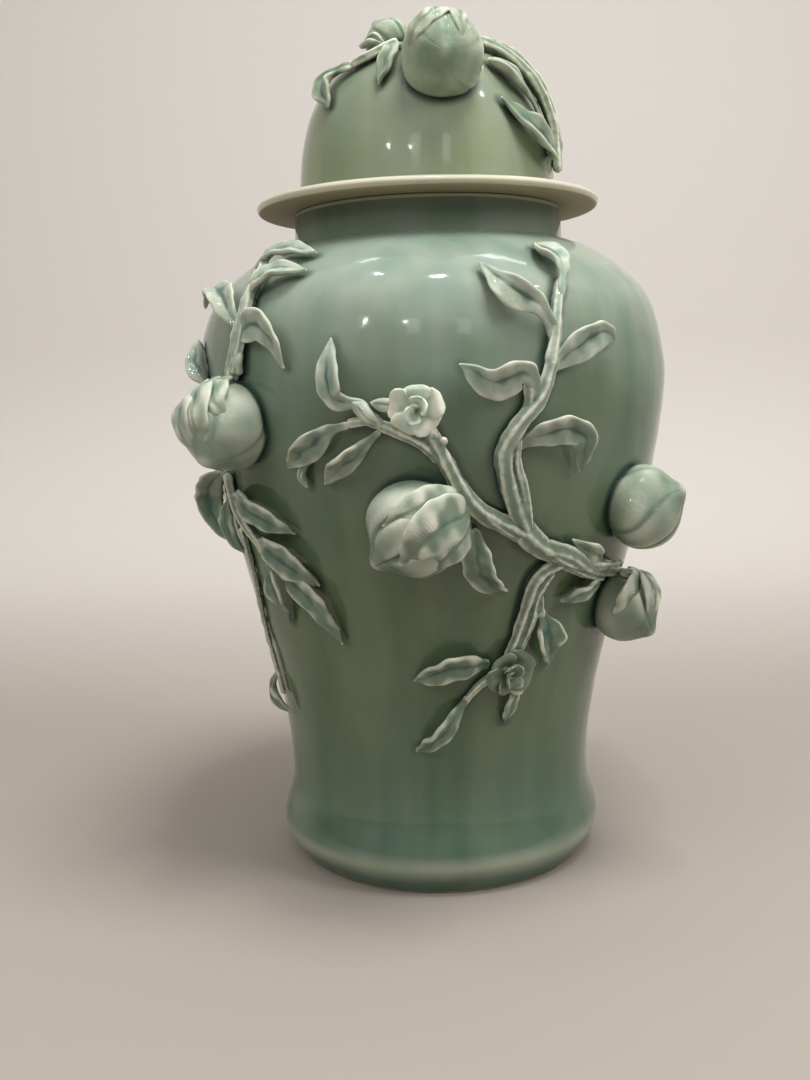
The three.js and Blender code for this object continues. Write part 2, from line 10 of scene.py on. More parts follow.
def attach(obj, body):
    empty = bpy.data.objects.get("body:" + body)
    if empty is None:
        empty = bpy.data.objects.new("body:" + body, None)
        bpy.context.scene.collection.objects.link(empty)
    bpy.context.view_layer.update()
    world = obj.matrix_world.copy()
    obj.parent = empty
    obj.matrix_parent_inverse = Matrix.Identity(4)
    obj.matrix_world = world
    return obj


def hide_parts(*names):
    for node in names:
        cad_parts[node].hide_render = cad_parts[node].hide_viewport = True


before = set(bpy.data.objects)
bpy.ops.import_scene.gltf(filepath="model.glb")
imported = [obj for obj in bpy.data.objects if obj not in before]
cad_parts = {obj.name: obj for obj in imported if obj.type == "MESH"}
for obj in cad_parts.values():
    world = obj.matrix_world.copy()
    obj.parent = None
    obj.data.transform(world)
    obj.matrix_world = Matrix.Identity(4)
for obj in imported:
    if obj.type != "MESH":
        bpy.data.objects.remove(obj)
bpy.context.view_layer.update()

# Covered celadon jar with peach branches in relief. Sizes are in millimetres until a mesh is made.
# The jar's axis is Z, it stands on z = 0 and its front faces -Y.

scene = bpy.context.scene
metre = 0.001
print("frame loaded:", len(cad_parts), "nodes")


# Small helpers

def hexColour(code):
    # sRGB hex to the linear values that a shader takes
    values = [int(code[i:i + 2], 16) / 255 for i in (1, 3, 5)]
    return [v / 12.92 if v <= 0.04045 else ((v + 0.055) / 1.055) ** 2.4 for v in values] + [1]


def smoothLine(points, perSpan=16):
    # centripetal curve through the points, so uneven spacing makes no loops
    points = np.asarray(points, float)
    points = np.vstack([2 * points[0] - points[1], points, 2 * points[-1] - points[-2]])
    gaps = np.sqrt(np.maximum(np.linalg.norm(np.diff(points, axis=0), axis=1), 1e-6))
    s = np.linspace(0, 1, perSpan, endpoint=False)[:, None]
    spans = []
    for i in range(1, len(points) - 2):
        before, start, end, after = points[i - 1:i + 3]
        a, b, c = gaps[i - 1:i + 2]
        leave = b * ((start - before) / a - (end - before) / (a + b) + (end - start) / b)
        arrive = b * ((end - start) / b - (after - start) / (b + c) + (after - end) / c)
        spans.append((2 * s ** 3 - 3 * s ** 2 + 1) * start + (s ** 3 - 2 * s ** 2 + s) * leave
                     + (3 * s ** 2 - 2 * s ** 3) * end + (s ** 3 - s ** 2) * arrive)
    return np.vstack(spans + [points[-2][None]])


def alongLine(line):
    # share of the length at each point of a dense line
    lengths = np.concatenate([[0], np.cumsum(np.linalg.norm(np.diff(line, axis=0), axis=1))])
    return lengths / lengths[-1], lengths[-1]


def spaced(line, count):
    # the line with its points spaced evenly
    share, length = alongLine(line)
    even = np.linspace(0, 1, count)
    return np.stack([np.interp(even, share, line[:, k]) for k in range(line.shape[1])], 1), length


def unit(vectors):
    return vectors / np.maximum(np.linalg.norm(vectors, axis=-1, keepdims=True), 1e-9)


def overLength(values, share):
    # values that are given at even steps, read smoothly at a share of the length
    values = np.atleast_1d(np.asarray(values, float))
    if len(values) == 1:
        return np.full_like(share, values[0])
    steps = np.linspace(0, 1, len(values))
    at = np.clip(np.searchsorted(steps, share) - 1, 0, len(values) - 2)
    x = (share - steps[at]) * (len(values) - 1)
    eased = x * x * (3 - 2 * x)
    return values[at] * (1 - eased) + values[at + 1] * eased


def searchTree(points):
    # finds the nearest of the points, which may be flat ones
    tree = KDTree(len(points))
    for i, point in enumerate(points):
        tree.insert((*point, 0)[:3], i)
    tree.balance()
    return tree


# The turned walls that everything is laid on

jarShape = dict(
    corners=[(130, 0), (143, 24), (134, 66), (139.5, 132), (163.5, 237), (191, 340),
             (200, 422), (185, 480), (142, 517), (114.5, 527.5)],
    rim=554, wall=8, floor=19, footRecess=7, footInside=116,
    footEase=1.5, rimEase=2.2, floorEase=8,
)
lidShape = dict(
    seat=554.3, flange=8, flangeRadius=147, radius=109.5, height=130, lean=2.5, wall=7,
    ringOutside=104, ringWall=6, ringDepth=22, rimRound=3, ease=2.6, easeSteps=7,
)


def jarWall():
    line = smoothLine(jarShape["corners"], 24)
    line = np.vstack([line, [(line[-1][0], jarShape["rim"])]])
    return dict(line=line, measure=line[:, 1])


def domeWall():
    rise = np.sin(np.linspace(math.pi / 2, 0, 160))
    radius = lidShape["radius"] * np.sqrt(np.maximum(0, 1 - rise ** 3))
    radius -= lidShape["lean"] * np.sin(math.pi * rise)
    radius[0] = 0
    line = np.stack([radius, lidShape["seat"] + lidShape["flange"] + lidShape["height"] * rise], 1)
    share, length = alongLine(line)
    return dict(line=line, measure=share * length)


walls = dict(jar=jarWall(), lid=domeWall())


def placeOn(body, around, along, lift=0):
    # the point at degrees round from the front and millimetres up the jar, or down over the dome
    line, measure = walls[body]["line"], walls[body]["measure"]
    reads = along + np.array([-1.5, 0, 1.5])      # the place itself and a little to either side
    radii, heights = (np.interp(reads, measure, line[:, k]) for k in (0, 1))
    towards = 1 if body == "jar" else -1
    widens, climbs = (towards * (values[2] - values[0]) for values in (radii, heights))
    slope = np.hypot(widens, climbs)
    turn = math.radians(around)
    radial = np.array([math.sin(turn), -math.cos(turn), 0])
    right = np.array([math.cos(turn), math.sin(turn), 0])
    out = radial * climbs / slope + np.array([0, 0, -widens / slope])
    up = np.cross(out, right)
    return radial * radii[1] + np.array([0, 0, heights[1]]) + out * lift, right, up, out


def riseAbove(body, points):
    # how far points stand off the wall, in millimetres
    line = walls[body]["line"]
    fromAxis, height = np.hypot(points[:, 0], points[:, 1]), points[:, 2]
    if body == "jar":
        radius = np.interp(height, line[:, 1], line[:, 0])
        slopes = np.gradient(line[:, 0]) / np.maximum(np.gradient(line[:, 1]), 1e-3)
        return (fromAxis - radius) / np.hypot(1, np.interp(height, line[:, 1], slopes))
    dome = searchTree(spaced(line, len(line) * 4)[0])
    rise = np.array([dome.find((r, z, 0))[2] for r, z in zip(fromAxis, height)])
    inside = fromAxis < np.interp(height, line[::-1, 1], line[::-1, 0])
    return np.where(inside, -rise, rise)


# Meshes

def meshOf(name, points, faces):
    mesh = bpy.data.meshes.new(name)
    mesh.from_pydata((np.asarray(points) * metre).tolist(), [], [list(map(int, f)) for f in faces])
    mesh.validate()
    return mesh


def objectOf(name, mesh):
    thing = bpy.data.objects.new(name, mesh)
    scene.collection.objects.link(thing)
    return thing


def applied(thing):
    # the object's modifiers turned into a plain mesh
    bpy.context.view_layer.update()
    graph = bpy.context.evaluated_depsgraph_get()
    mesh = bpy.data.meshes.new_from_object(thing.evaluated_get(graph), depsgraph=graph)
    thing.modifiers.clear()
    old, thing.data = thing.data, mesh
    mesh.name = thing.name
    if old.users == 0:
        bpy.data.meshes.remove(old)
    return thing


def fused(thing, voxel):
    # overlapping forms become one skin, as wet clay does when it is pressed together
    remesh = thing.modifiers.new("fuse", "REMESH")
    remesh.mode = "VOXEL"
    remesh.voxel_size = voxel * metre
    return applied(thing)


def joined(shapes):
    points, faces, start = [], [], 0
    for shapePoints, shapeFaces in shapes:
        points.append(shapePoints)
        faces += [[i + start for i in face] for face in shapeFaces]
        start += len(shapePoints)
    return np.vstack(points), faces


def tube(rows, ends=None):
    # faces over rings of equally many points, with a point at each end
    stations, around = rows.shape[:2]
    if ends is None:
        ends = rows[[0, -1]].mean(1)
    points = np.vstack([rows.reshape(-1, 3), ends])
    tip, last = len(points) - 2, (stations - 1) * around
    pairs = [(i, (i + 1) % around) for i in range(around)]
    faces = [(a + i, a + j, a + around + j, a + around + i) for a in range(0, last, around) for i, j in pairs]
    for i, j in pairs:
        faces += [(tip, j, i), (tip + 1, last + i, last + j)]
    return points, faces


def pointsOf(mesh):
    points = np.empty(len(mesh.vertices) * 3)
    mesh.vertices.foreach_get("co", points)
    return points.reshape(-1, 3) / metre


def normalsOf(mesh):
    normals = np.empty(len(mesh.vertices) * 3)
    mesh.vertices.foreach_get("normal", normals)
    return normals.reshape(-1, 3)


def shadeSmooth(mesh):
    mesh.polygons.foreach_set("use_smooth", [True] * len(mesh.polygons))


def setAttribute(mesh, name, values):
    layer = mesh.attributes.get(name) or mesh.attributes.new(name, "FLOAT", "POINT")
    layer.data.foreach_set("value", np.asarray(values, np.float32))


def roundness(mesh, steps):
    # how far each vertex stands out of its smoothed surroundings: ridges positive, hollows negative
    points = pointsOf(mesh)
    edges = np.empty(len(mesh.edges) * 2, int)
    mesh.edges.foreach_get("vertices", edges)
    a, b = edges.reshape(-1, 2).T
    count = np.maximum(np.bincount(a, minlength=len(points)) + np.bincount(b, minlength=len(points)), 1)
    soft = points.copy()
    for _ in range(steps):
        total = np.stack([np.bincount(a, soft[b, k], len(points)) + np.bincount(b, soft[a, k], len(points))
                          for k in range(3)], 1)
        soft = 0.4 * soft + 0.6 * total / count[:, None]
    return np.einsum("ij,ij->i", points - soft, normalsOf(mesh))


def softNoise(points, size, seed):
    # smooth unevenness between -1 and 1 that repeats no sooner than a few sizes
    draw = np.random.default_rng(seed)
    total = np.zeros(len(points))
    for _ in range(6):
        direction = unit(draw.normal(size=3))
        waves = 2 * math.pi / size * draw.uniform(0.6, 1.4)
        total += np.sin(points @ direction * waves + draw.uniform(0, 6.3))
    return total / 3.5


def outwards(mesh):
    # turns the faces round if the mesh is inside out
    corners = pointsOf(mesh)
    mesh.calc_loop_triangles()
    triangles = np.empty(len(mesh.loop_triangles) * 3, int)
    mesh.loop_triangles.foreach_get("vertices", triangles)
    a, b, c = (corners[triangles.reshape(-1, 3)[:, k]] - corners.mean(0) for k in range(3))
    if np.einsum("ij,ij->", a, np.cross(b, c)) < 0:
        mesh.flip_normals()
        print(mesh.name, "turned outwards")


# Geometry Nodes

def addNode(tree, kind, links=None, **settings):
    # a node with its settings; links maps an input's name or number to a value, to another node's output, or
    # to a node, which stands for its first output
    node = tree.nodes.new(kind)
    for key, value in settings.items():
        setattr(node, key, value)
    for key, value in (links or {}).items():
        if isinstance(value, bpy.types.Node):
            value = value.outputs[0]
        if isinstance(value, bpy.types.NodeSocket):
            tree.links.new(value, node.inputs[key])
        else:
            node.inputs[key].default_value = value
    return node


def newTree(name, sizes):
    # a Geometry Nodes tree with named inputs
    tree = bpy.data.node_groups.new(name, "GeometryNodeTree")
    tree.interface.new_socket("Geometry", in_out="INPUT", socket_type="NodeSocketGeometry")
    for label, value in sizes.items():
        kind = "NodeSocketInt" if isinstance(value, int) else "NodeSocketFloat"
        tree.interface.new_socket(label, in_out="INPUT", socket_type=kind).default_value = value
    tree.interface.new_socket("Material", in_out="INPUT", socket_type="NodeSocketMaterial")
    tree.interface.new_socket("Geometry", in_out="OUTPUT", socket_type="NodeSocketGeometry")
    return tree, tree.nodes.new("NodeGroupInput").outputs, tree.nodes.new("NodeGroupOutput").inputs


def endTree(tree, geometry, given, result):
    # the export drops instances, so each tree ends in real geometry with its material
    add = partial(addNode, tree)
    real = add("GeometryNodeRealizeInstances", {0: geometry})
    dressed = add("GeometryNodeSetMaterial", {"Geometry": real, "Material": given["Material"]})
    tree.links.new(dressed.outputs[0], result[0])
    return tree


def runTree(thing, tree, values):
    modifier = thing.modifiers.new(tree.name, "NODES")
    modifier.node_group = tree
    for item in tree.interface.items_tree:
        if item.in_out == "INPUT" and item.name in values:
            modifier[item.identifier] = values[item.name]
    return applied(thing)


# Materials

def glazeMaterial(name, look):
    # A glossy celadon glaze, fired in reduction: iron in it gives the grey-green. It runs thin and pale over
    # edges, and pools thick and blue-green where the clay is hollow, where its dark is partly painted shade;
    # its tones up the height are partly painted light and shade.
    material = bpy.data.materials.new(name)
    material.use_nodes = True
    tree = material.node_tree
    add = partial(addNode, tree)
    shader = tree.nodes["Principled BSDF"]
    for socket, value in look["gloss"].items():
        shader.inputs[socket].default_value = value
    place = add("ShaderNodeTexCoord").outputs["Object"]
    height = add("ShaderNodeSeparateXYZ", {0: place}).outputs["Z"]
    low, high = (mm * metre for mm in look["heights"])
    level = add("ShaderNodeMapRange", {"Value": height, "From Min": low, "From Max": high})
    ramp = add("ShaderNodeValToRGB", {"Fac": level})
    stops = look["tones"]
    while len(ramp.color_ramp.elements) < len(stops):
        ramp.color_ramp.elements.new(0.5)
    for stop, (share, code) in zip(ramp.color_ramp.elements, stops):
        stop.position = share
        stop.color = hexColour(code)
    runs = add("ShaderNodeMapping", {"Vector": place, "Scale": look["runScale"]})
    runNoise = add("ShaderNodeTexNoise", {"Vector": runs, "Scale": 1.0, "Detail": 3.0, "Roughness": 0.45})
    mottle = add("ShaderNodeTexNoise", {"Vector": place, "Scale": 1 / (look["mottleSize"] * metre),
                                        "Detail": 4.0})
    # runs and mottling tint the glaze, and each layer covers it where its attribute says
    washes = [(runNoise, *noiseRanges["runs"], look["runShare"], look["runColour"], "LINEAR", "MULTIPLY"),
              (mottle, *noiseRanges["mottle"], look["mottleShare"], look["mottleColour"], "LINEAR", "MULTIPLY")]
    for attribute, *layer in look["layers"]:
        value = add("ShaderNodeAttribute", attribute_name=attribute).outputs["Fac"]
        washes.append((value, *layer, "SMOOTHSTEP", "MIX"))
    colour = ramp.outputs[0]
    for value, start, end, most, code, change, blend in washes:
        share = add("ShaderNodeMapRange", {"Value": value, "From Min": start, "From Max": end,
                                           "To Max": most}, interpolation_type=change)
        colour = add("ShaderNodeMix", {0: share, 6: colour, 7: hexColour(code)}, data_type="RGBA",
                     blend_type=blend).outputs[2]
    tree.links.new(colour, shader.inputs["Base Color"])
    if "dull" in look:
        bare = add("ShaderNodeAttribute", attribute_name="bare").outputs["Fac"]
        dull = add("ShaderNodeMapRange", {"Value": bare, "To Min": look["gloss"]["Roughness"],
                                          "To Max": look["dull"]})
        tree.links.new(dull.outputs[0], shader.inputs["Roughness"])
    ripple = add("ShaderNodeTexNoise", {"Vector": place, "Scale": 1 / (look["rippleSize"] * metre),
                                        "Detail": 2.0})
    bump = add("ShaderNodeBump", {"Height": ripple, "Distance": look["ripple"] * metre})
    tree.links.new(bump.outputs[0], shader.inputs["Normal"])
    return material


# A layer is an attribute, its values where the layer starts and is full, its share there, and its colour.
gloss = {"Roughness": 0.1, "IOR": 1.5, "Metallic": 0.0}
noiseRanges = dict(runs=(0.42, 0.68), mottle=(0.35, 0.7))
# round the relief the glaze darkens: partly thick glaze gathering there, partly painted contact shade
pooledGlazeAndContactShade = ("near", 7.5, 0.0, 0.95, "#2c443d")
bareClay = ("bare", 0.3, 0.7, 1, "#a4957a")
bodyLook = dict(
    gloss=gloss, dull=0.75, heights=(0, 700),
    # tones up the height, partly the glaze's own: the pale band at 0.68 is a painted highlight on the shoulder,
    # the darker neck above it painted shade under the flange, and the deeper tones low down a painted dark
    # reflection
    tones=[(0, "#60766a"), (0.08, "#627769"), (0.2, "#64745b"), (0.42, "#637259"), (0.55, "#6a7b69"),
           (0.68, "#919e95"), (0.74, "#8b9a90"), (0.76, "#7c8b81"), (1, "#7c8b81")],
    runScale=(26, 26, 2.2), runShare=0.7, runColour="#c2dbd3",
    mottleSize=60, mottleShare=0.6, mottleColour="#f2f0cf",
    layers=[pooledGlazeAndContactShade, ("edge", 0.05, 0.35, 0.8, "#bfc2ab"), bareClay],
    rippleSize=18, ripple=0.25,
)
lidLook = {
    **bodyLook, "runShare": 0.5, "layers": [pooledGlazeAndContactShade, ("edge", 0.05, 0.3, 0.8, "#d2ccb6"), bareClay],
    # tones up the lid, partly the glaze's own: a lighter band on the flange top, and the darker top of the dome
    # is painted shade
    "tones": [(0, "#8c9581"), (0.803, "#8c9581"), (0.815, "#98a18d"), (0.9, "#8d9682"), (0.97, "#77806b")],
}
reliefLook = dict(
    gloss={**gloss, "Roughness": 0.07}, heights=(0, 700),
    # tones up the height, set to how bright the relief shows under the light: the pale band round the shoulder
    # is partly painted light, the darker tones low down partly painted shade
    tones=[(0, "#6f806a"), (0.45, "#7b8a78"), (0.6, "#a2ad9d"), (0.72, "#b0baaa"), (0.82, "#8f9c85"),
           (1, "#8c9982")],
    runScale=(60, 60, 30), runShare=0.7, runColour="#c6e2e0",
    mottleSize=9, mottleShare=0.6, mottleColour="#dcdccb",
    # hollows darken blue-green, partly thick glaze and partly painted shade; low by the wall the relief darkens
    # to near black, partly thick glaze and partly painted contact shade
    layers=[("hollow", 0.05, 0.8, 0.75, "#c3c8b6"), ("hollow", -0.05, -1.0, 0.85, "#35564f"),
            ("rise", 5, 0.0, 0.92, "#263b35"), ("edge", 0.07, 0.4, 0.9, "#e1ddca")],
    rippleSize=3.5, ripple=0.32,
)
blossomLook = {
    # tones: the lower blossom darker, the upper one pale; the dark of the hollows is partly thick glaze and
    # partly painted shade
    **reliefLook, "tones": [(0, "#77846f"), (0.32, "#77846f"), (0.5, "#e9ebdd"), (1, "#e9ebdd")],
    "layers": [("hollow", -0.3, -1.3, 0.9, "#46645a"), ("edge", 0.05, 0.35, 0.85, "#e6e4d8")],
}
materials = dict(
    jar=glazeMaterial("celadon_glaze", bodyLook),
    lid=glazeMaterial("lid_celadon_glaze", lidLook),
    branch=glazeMaterial("branch_celadon_glaze", reliefLook),
    leaf=glazeMaterial("leaf_celadon_glaze", reliefLook),
    peach=glazeMaterial("peach_celadon_glaze", reliefLook),
    blossom=glazeMaterial("blossom_celadon_glaze", blossomLook),
)
print("materials made")

spots = dict(jar=[], lid=[])      # points low on the relief; round them the bodies' glaze darkens, partly thick glaze and partly painted contact shade
spotRise, spotStep = 6, 3         # every third vertex that stands this little off the wall


def finishPiece(thing, body, node, finish, smoothing):
    # attributes for the glaze, smooth shading, and the ties to the frame
    mesh = thing.data
    outwards(mesh)
    mesh.materials.clear()
    mesh.materials.append(materials[finish])
    shadeSmooth(mesh)
    points = pointsOf(mesh)
    setAttribute(mesh, "edge", roundness(mesh, smoothing[0]))
    setAttribute(mesh, "hollow", roundness(mesh, smoothing[1]))
    rise = riseAbove(body, points)
    setAttribute(mesh, "rise", rise)
    spots[body].append(points[rise < spotRise][::spotStep])
    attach(thing, body)
    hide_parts(node)


# Peaches

peachShapes = dict(
    front_peach=dict(body="jar", at=(-4, 310.5, 10), radius=36.5, length=68, beak=8, soft=0.9,
                     points=(-0.75, -0.58, 0.3)),
    left_peach=dict(body="jar", at=(-48, 384, 12), radius=34.5, length=66, beak=7, soft=0.5,
                    points=(0.3, -0.53, 0.78)),
    right_upper_peach=dict(body="jar", at=(56, 313, 12), radius=33.5, length=63, beak=6, soft=0.35,
                           points=(0.16, 0.6, 0.75)),
    right_lower_peach=dict(body="jar", at=(61, 230, 14), radius=29, length=57, beak=6, soft=0.7,
                           points=(-0.1, -0.41, 0.91)),
    back_upper_peach=dict(body="jar", at=(176, 322, 11), radius=36, length=70, beak=7, soft=0.8,
                          points=(0.7, -0.5, 0.5)),
    back_lower_peach=dict(body="jar", at=(150, 216, 13), radius=31, length=61, beak=6, soft=0.6,
                          points=(-0.5, -0.6, 0.6)),
    lid_peach=dict(body="lid", at=(8, 103, 12), radius=31.5, length=60, beak=3.5, soft=0.3,
                   points=(-0.1, -0.66, 0.72)),
    lid_small_peach=dict(body="lid", at=(-46, 40, 1), radius=19, length=36, beak=4, soft=0.4,
                         points=(-0.5, 0.0, 0.85)),
)
peachDetail = dict(
    segments=168, rings=110, uneven=1.0, unevenSize=34, fullness=-0.04, beakPower=50,
    creases=[(0, 3.2, 0.12, 2.2), (50, 2.6, 0.13, 1.8), (-62, 2.0, 0.14, 1.6), (-140, 1.6, 0.15, 1.2)],
    swing=0.25, fade=0.7, shoulder=0.45, lip=0.06,
)


def peachForm(shape, seed):
    # a round fruit with a point; each crease has one bank that stands above the other
    detail = peachDetail
    turn = np.linspace(0, math.pi, detail["rings"] + 1)[:, None]
    around = np.linspace(0, 2 * math.pi, detail["segments"], endpoint=False)[None, :]
    radius = np.sin(turn) * (1 + detail["fullness"] * np.cos(turn)) * shape["radius"]
    fade = shape["soft"] * np.sin(turn) ** detail["fade"]
    for angle, depth, width, bank in detail["creases"]:
        swing = detail["swing"] * np.sin(turn * 1.5) * np.sign(angle)
        away = (around - math.radians(angle) + swing + math.pi) % (2 * math.pi) - math.pi
        beyond = np.maximum(away, 0)
        stands = bank * np.exp(-beyond / detail["shoulder"]) * np.minimum(beyond / detail["lip"], 1)
        radius = radius + (stands - depth * np.exp(-(away / width) ** 2)) * fade
    rise = (1 - np.cos(turn)) / 2
    axis = -shape["length"] / 2 * np.cos(turn) + shape["beak"] * rise ** detail["beakPower"]
    place, right, up, out = placeOn(shape["body"], *shape["at"])
    beak = unit(np.array(shape["points"]) @ np.array([right, up, out]))
    seamSide = unit(out - beak * (out @ beak))
    third = np.cross(beak, seamSide)
    rows = (place + axis[..., None] * beak + (radius * np.cos(around))[..., None] * seamSide
            + (radius * np.sin(around))[..., None] * third)
    points = rows.reshape(-1, 3)
    bumps = softNoise(points, detail["unevenSize"], seed) * detail["uneven"]
    rows = (points + unit(points - place) * bumps[:, None]).reshape(rows.shape)
    return tube(rows[1:-1], rows[[0, -1]].mean(1))


def makePeaches():
    for seed, (node, shape) in enumerate(peachShapes.items()):
        thing = objectOf(node + "_glazed", meshOf(node, *peachForm(shape, seed)))
        finishPiece(thing, shape["body"], node, "peach", smoothing=(6, 40))


# Leaves: pinched sheets of clay swept along a line, folded on their middle rib, with combed veins

leafForms = dict(
    lance=[(0, 0.26), (0.15, 0.3), (0.38, 0.85), (0.56, 1), (0.76, 0.76), (0.91, 0.36), (1, 0.04)],
    broad=[(0, 0.28), (0.1, 0.36), (0.28, 0.9), (0.48, 1), (0.7, 0.86), (0.88, 0.46), (1, 0.04)],
    knee=[(0, 0.4), (0.3, 0.42), (0.42, 0.78), (0.54, 1), (0.7, 0.92), (0.86, 0.52), (0.95, 0.22), (1, 0.05)],
    flap=[(0, 0.45), (0.1, 0.8), (0.26, 1), (0.5, 0.86), (0.74, 0.54), (0.9, 0.26), (1, 0.06)],
    spoon=[(0, 0.22), (0.4, 0.2), (0.56, 0.5), (0.72, 1), (0.86, 0.9), (0.95, 0.5), (1, 0.12)],
    cup=[(0, 0.24), (0.16, 0.34), (0.32, 0.95), (0.48, 1), (0.64, 0.5), (0.84, 0.26), (1, 0.05)],
    bud=[(0, 0.5), (0.2, 0.8), (0.45, 1), (0.7, 0.86), (0.9, 0.45), (1, 0.08)],
    cover=[(0, 0.3), (0.16, 0.5), (0.35, 0.9), (0.52, 1), (0.7, 0.86), (0.86, 0.5), (0.95, 0.2), (1, 0.03)],
    petal=[(0, 0.3), (0.25, 0.55), (0.5, 0.88), (0.7, 1), (0.86, 0.88), (0.95, 0.6), (1, 0.25)],
)
leafDefaults = dict(form="lance", thick=5.2, edge=3.4, rib=0.6, vein=0.07, tilt=0, fold=9, right=14, left=14,
                    lean=0, wave=16, waves=1.6)
leafDetail = dict(across=12, step=1.0, spread=0.56, narrowThick=0.3, narrowEdge=0.35, foldEnds=0.3, curl=0.95,
                  ribWidth=1.5, veinSpacing=2.0, veinSlant=0.8, veinStart=3, uneven=0.8, unevenSize=16,
                  stand=(1.1, 1.02, 1.0, 0.96))


def leafLine(leaf):
    # places and outward directions along a leaf, on the wall or over a peach
    if "over" not in leaf:
        places = [placeOn(leaf["body"], *step) for step in leaf["path"]]
        return [p[0] for p in places], [p[3] for p in places]
    fruit = peachShapes[leaf["over"]]
    centre, right, up, out = placeOn(fruit["body"], *fruit["at"])
    stand = overLength(leafDetail["stand"], np.linspace(0, 1, len(leaf["path"])))
    points, outs = [], []
    for step, reach in zip(leaf["path"], stand):
        away = unit(right * step[0] + up * step[1] + out * step[2])
        points.append(centre + away * fruit["radius"] * reach)
        outs.append(unit(away * 2 + out))
    return points, outs


def sheet(line, outs, leaf):
    # a closed sheet with thick round edges along a line
    leaf, detail = {**leafDefaults, **leaf}, leafDetail
    points, directions = smoothLine(line), smoothLine(outs)
    _, length = alongLine(points)
    count = max(24, int(length / detail["step"]))
    both, _ = spaced(np.hstack([points, directions * 1e-6]), count)
    points, directions = both[:, :3], unit(both[:, 3:])
    share = np.linspace(0, 1, count)
    tangent = unit(np.gradient(points, axis=0))
    across = unit(np.cross(tangent, directions))
    out = np.cross(across, tangent)
    tilt = np.radians(overLength(leaf["tilt"], share))[:, None]
    across, out = across * np.cos(tilt) + out * np.sin(tilt), out * np.cos(tilt) - across * np.sin(tilt)

    # half the width and the thickness at each station, with a round root
    half = leaf["width"] * detail["spread"] * np.interp(share, *np.array(leafForms[leaf["form"]]).T)
    soften = np.convolve(np.pad(half, 3, mode="edge"), np.ones(7) / 7, mode="valid")
    half = np.where((share > 0.05) & (share < 0.95), soften, half)
    fromRoot = np.clip(share * length / np.maximum(half, 1), 0.03, 1)
    rootRound = np.sqrt(1 - (1 - fromRoot) ** 2)[:, None]
    half = half[:, None] * rootRound
    swell = np.clip(half / (leaf["width"] / 2), 0, 1)
    thick, thin = (leaf[key] * (least + (1 - least) * np.sqrt(swell)) * rootRound
                   for key, least in (("thick", detail["narrowThick"]), ("edge", detail["narrowEdge"])))

    # each side bends away from the rib; t runs from the rib to the edge
    t = np.sin(np.linspace(0, math.pi / 2, detail["across"] + 1)) ** 0.9
    sides = []
    for sign, key, shift in ((-1, "left", 0.9), (1, "right", 0)):
        fold, bend = (np.radians(overLength(leaf[k], share))[:, None] for k in ("fold", key))
        waves = leaf["wave"] * np.sin(2 * math.pi * (share * leaf["waves"] + leaf["phase"] + shift))[:, None]
        angle = fold * swell * np.clip(t / detail["foldEnds"], 0, 1) + bend * detail["curl"] * t
        angle = angle + np.radians(waves) * t ** 2 * swell
        middle = (angle[:, 1:] + angle[:, :-1]) / 2
        reach = half * (1 + sign * overLength(leaf["lean"], share))[:, None]
        steps = np.stack([np.cos(middle), np.sin(middle)]) * np.diff(t)
        x, y = np.pad(np.cumsum(steps, 2), ((0, 0), (0, 0), (1, 0))) * reach
        fromRib = reach * t
        body = (thick * (1 - t ** 2) + thin * t ** 2) / 2 * np.sqrt(1 - t ** 10)
        groove = leaf["rib"] * np.exp(-(fromRib / detail["ribWidth"]) ** 2)
        comb = (share[:, None] * length - detail["veinSlant"] * fromRib) / detail["veinSpacing"]
        veins = leaf["vein"] * np.sin(2 * math.pi * comb) * (1 - t ** 4)
        veins = veins * np.clip(fromRib / detail["veinStart"], 0, 1)
        skins = np.stack([body + (veins - groove) * swell * np.clip(half / 4, 0, 1), -body + veins * 0.5])
        sides.append(np.stack([sign * (x - np.sin(angle) * skins), y + np.cos(angle) * skins]))
    left, right = sides
    skins = np.concatenate([left[..., ::-1], right[..., 1:]], 3)
    x, y = np.concatenate([skins[:, 0], skins[:, 1, :, -2:0:-1]], 2)
    rows = points[:, None] + x[..., None] * across[:, None] + y[..., None] * out[:, None]
    bumpy = rows.reshape(-1, 3)
    for axis, seed in ((across, 1), (out, 2)):
        amount = softNoise(bumpy, detail["unevenSize"], seed) * detail["uneven"]
        bumpy = bumpy + amount[:, None] * np.repeat(axis, rows.shape[1], 0)
    return tube(bumpy.reshape(rows.shape))


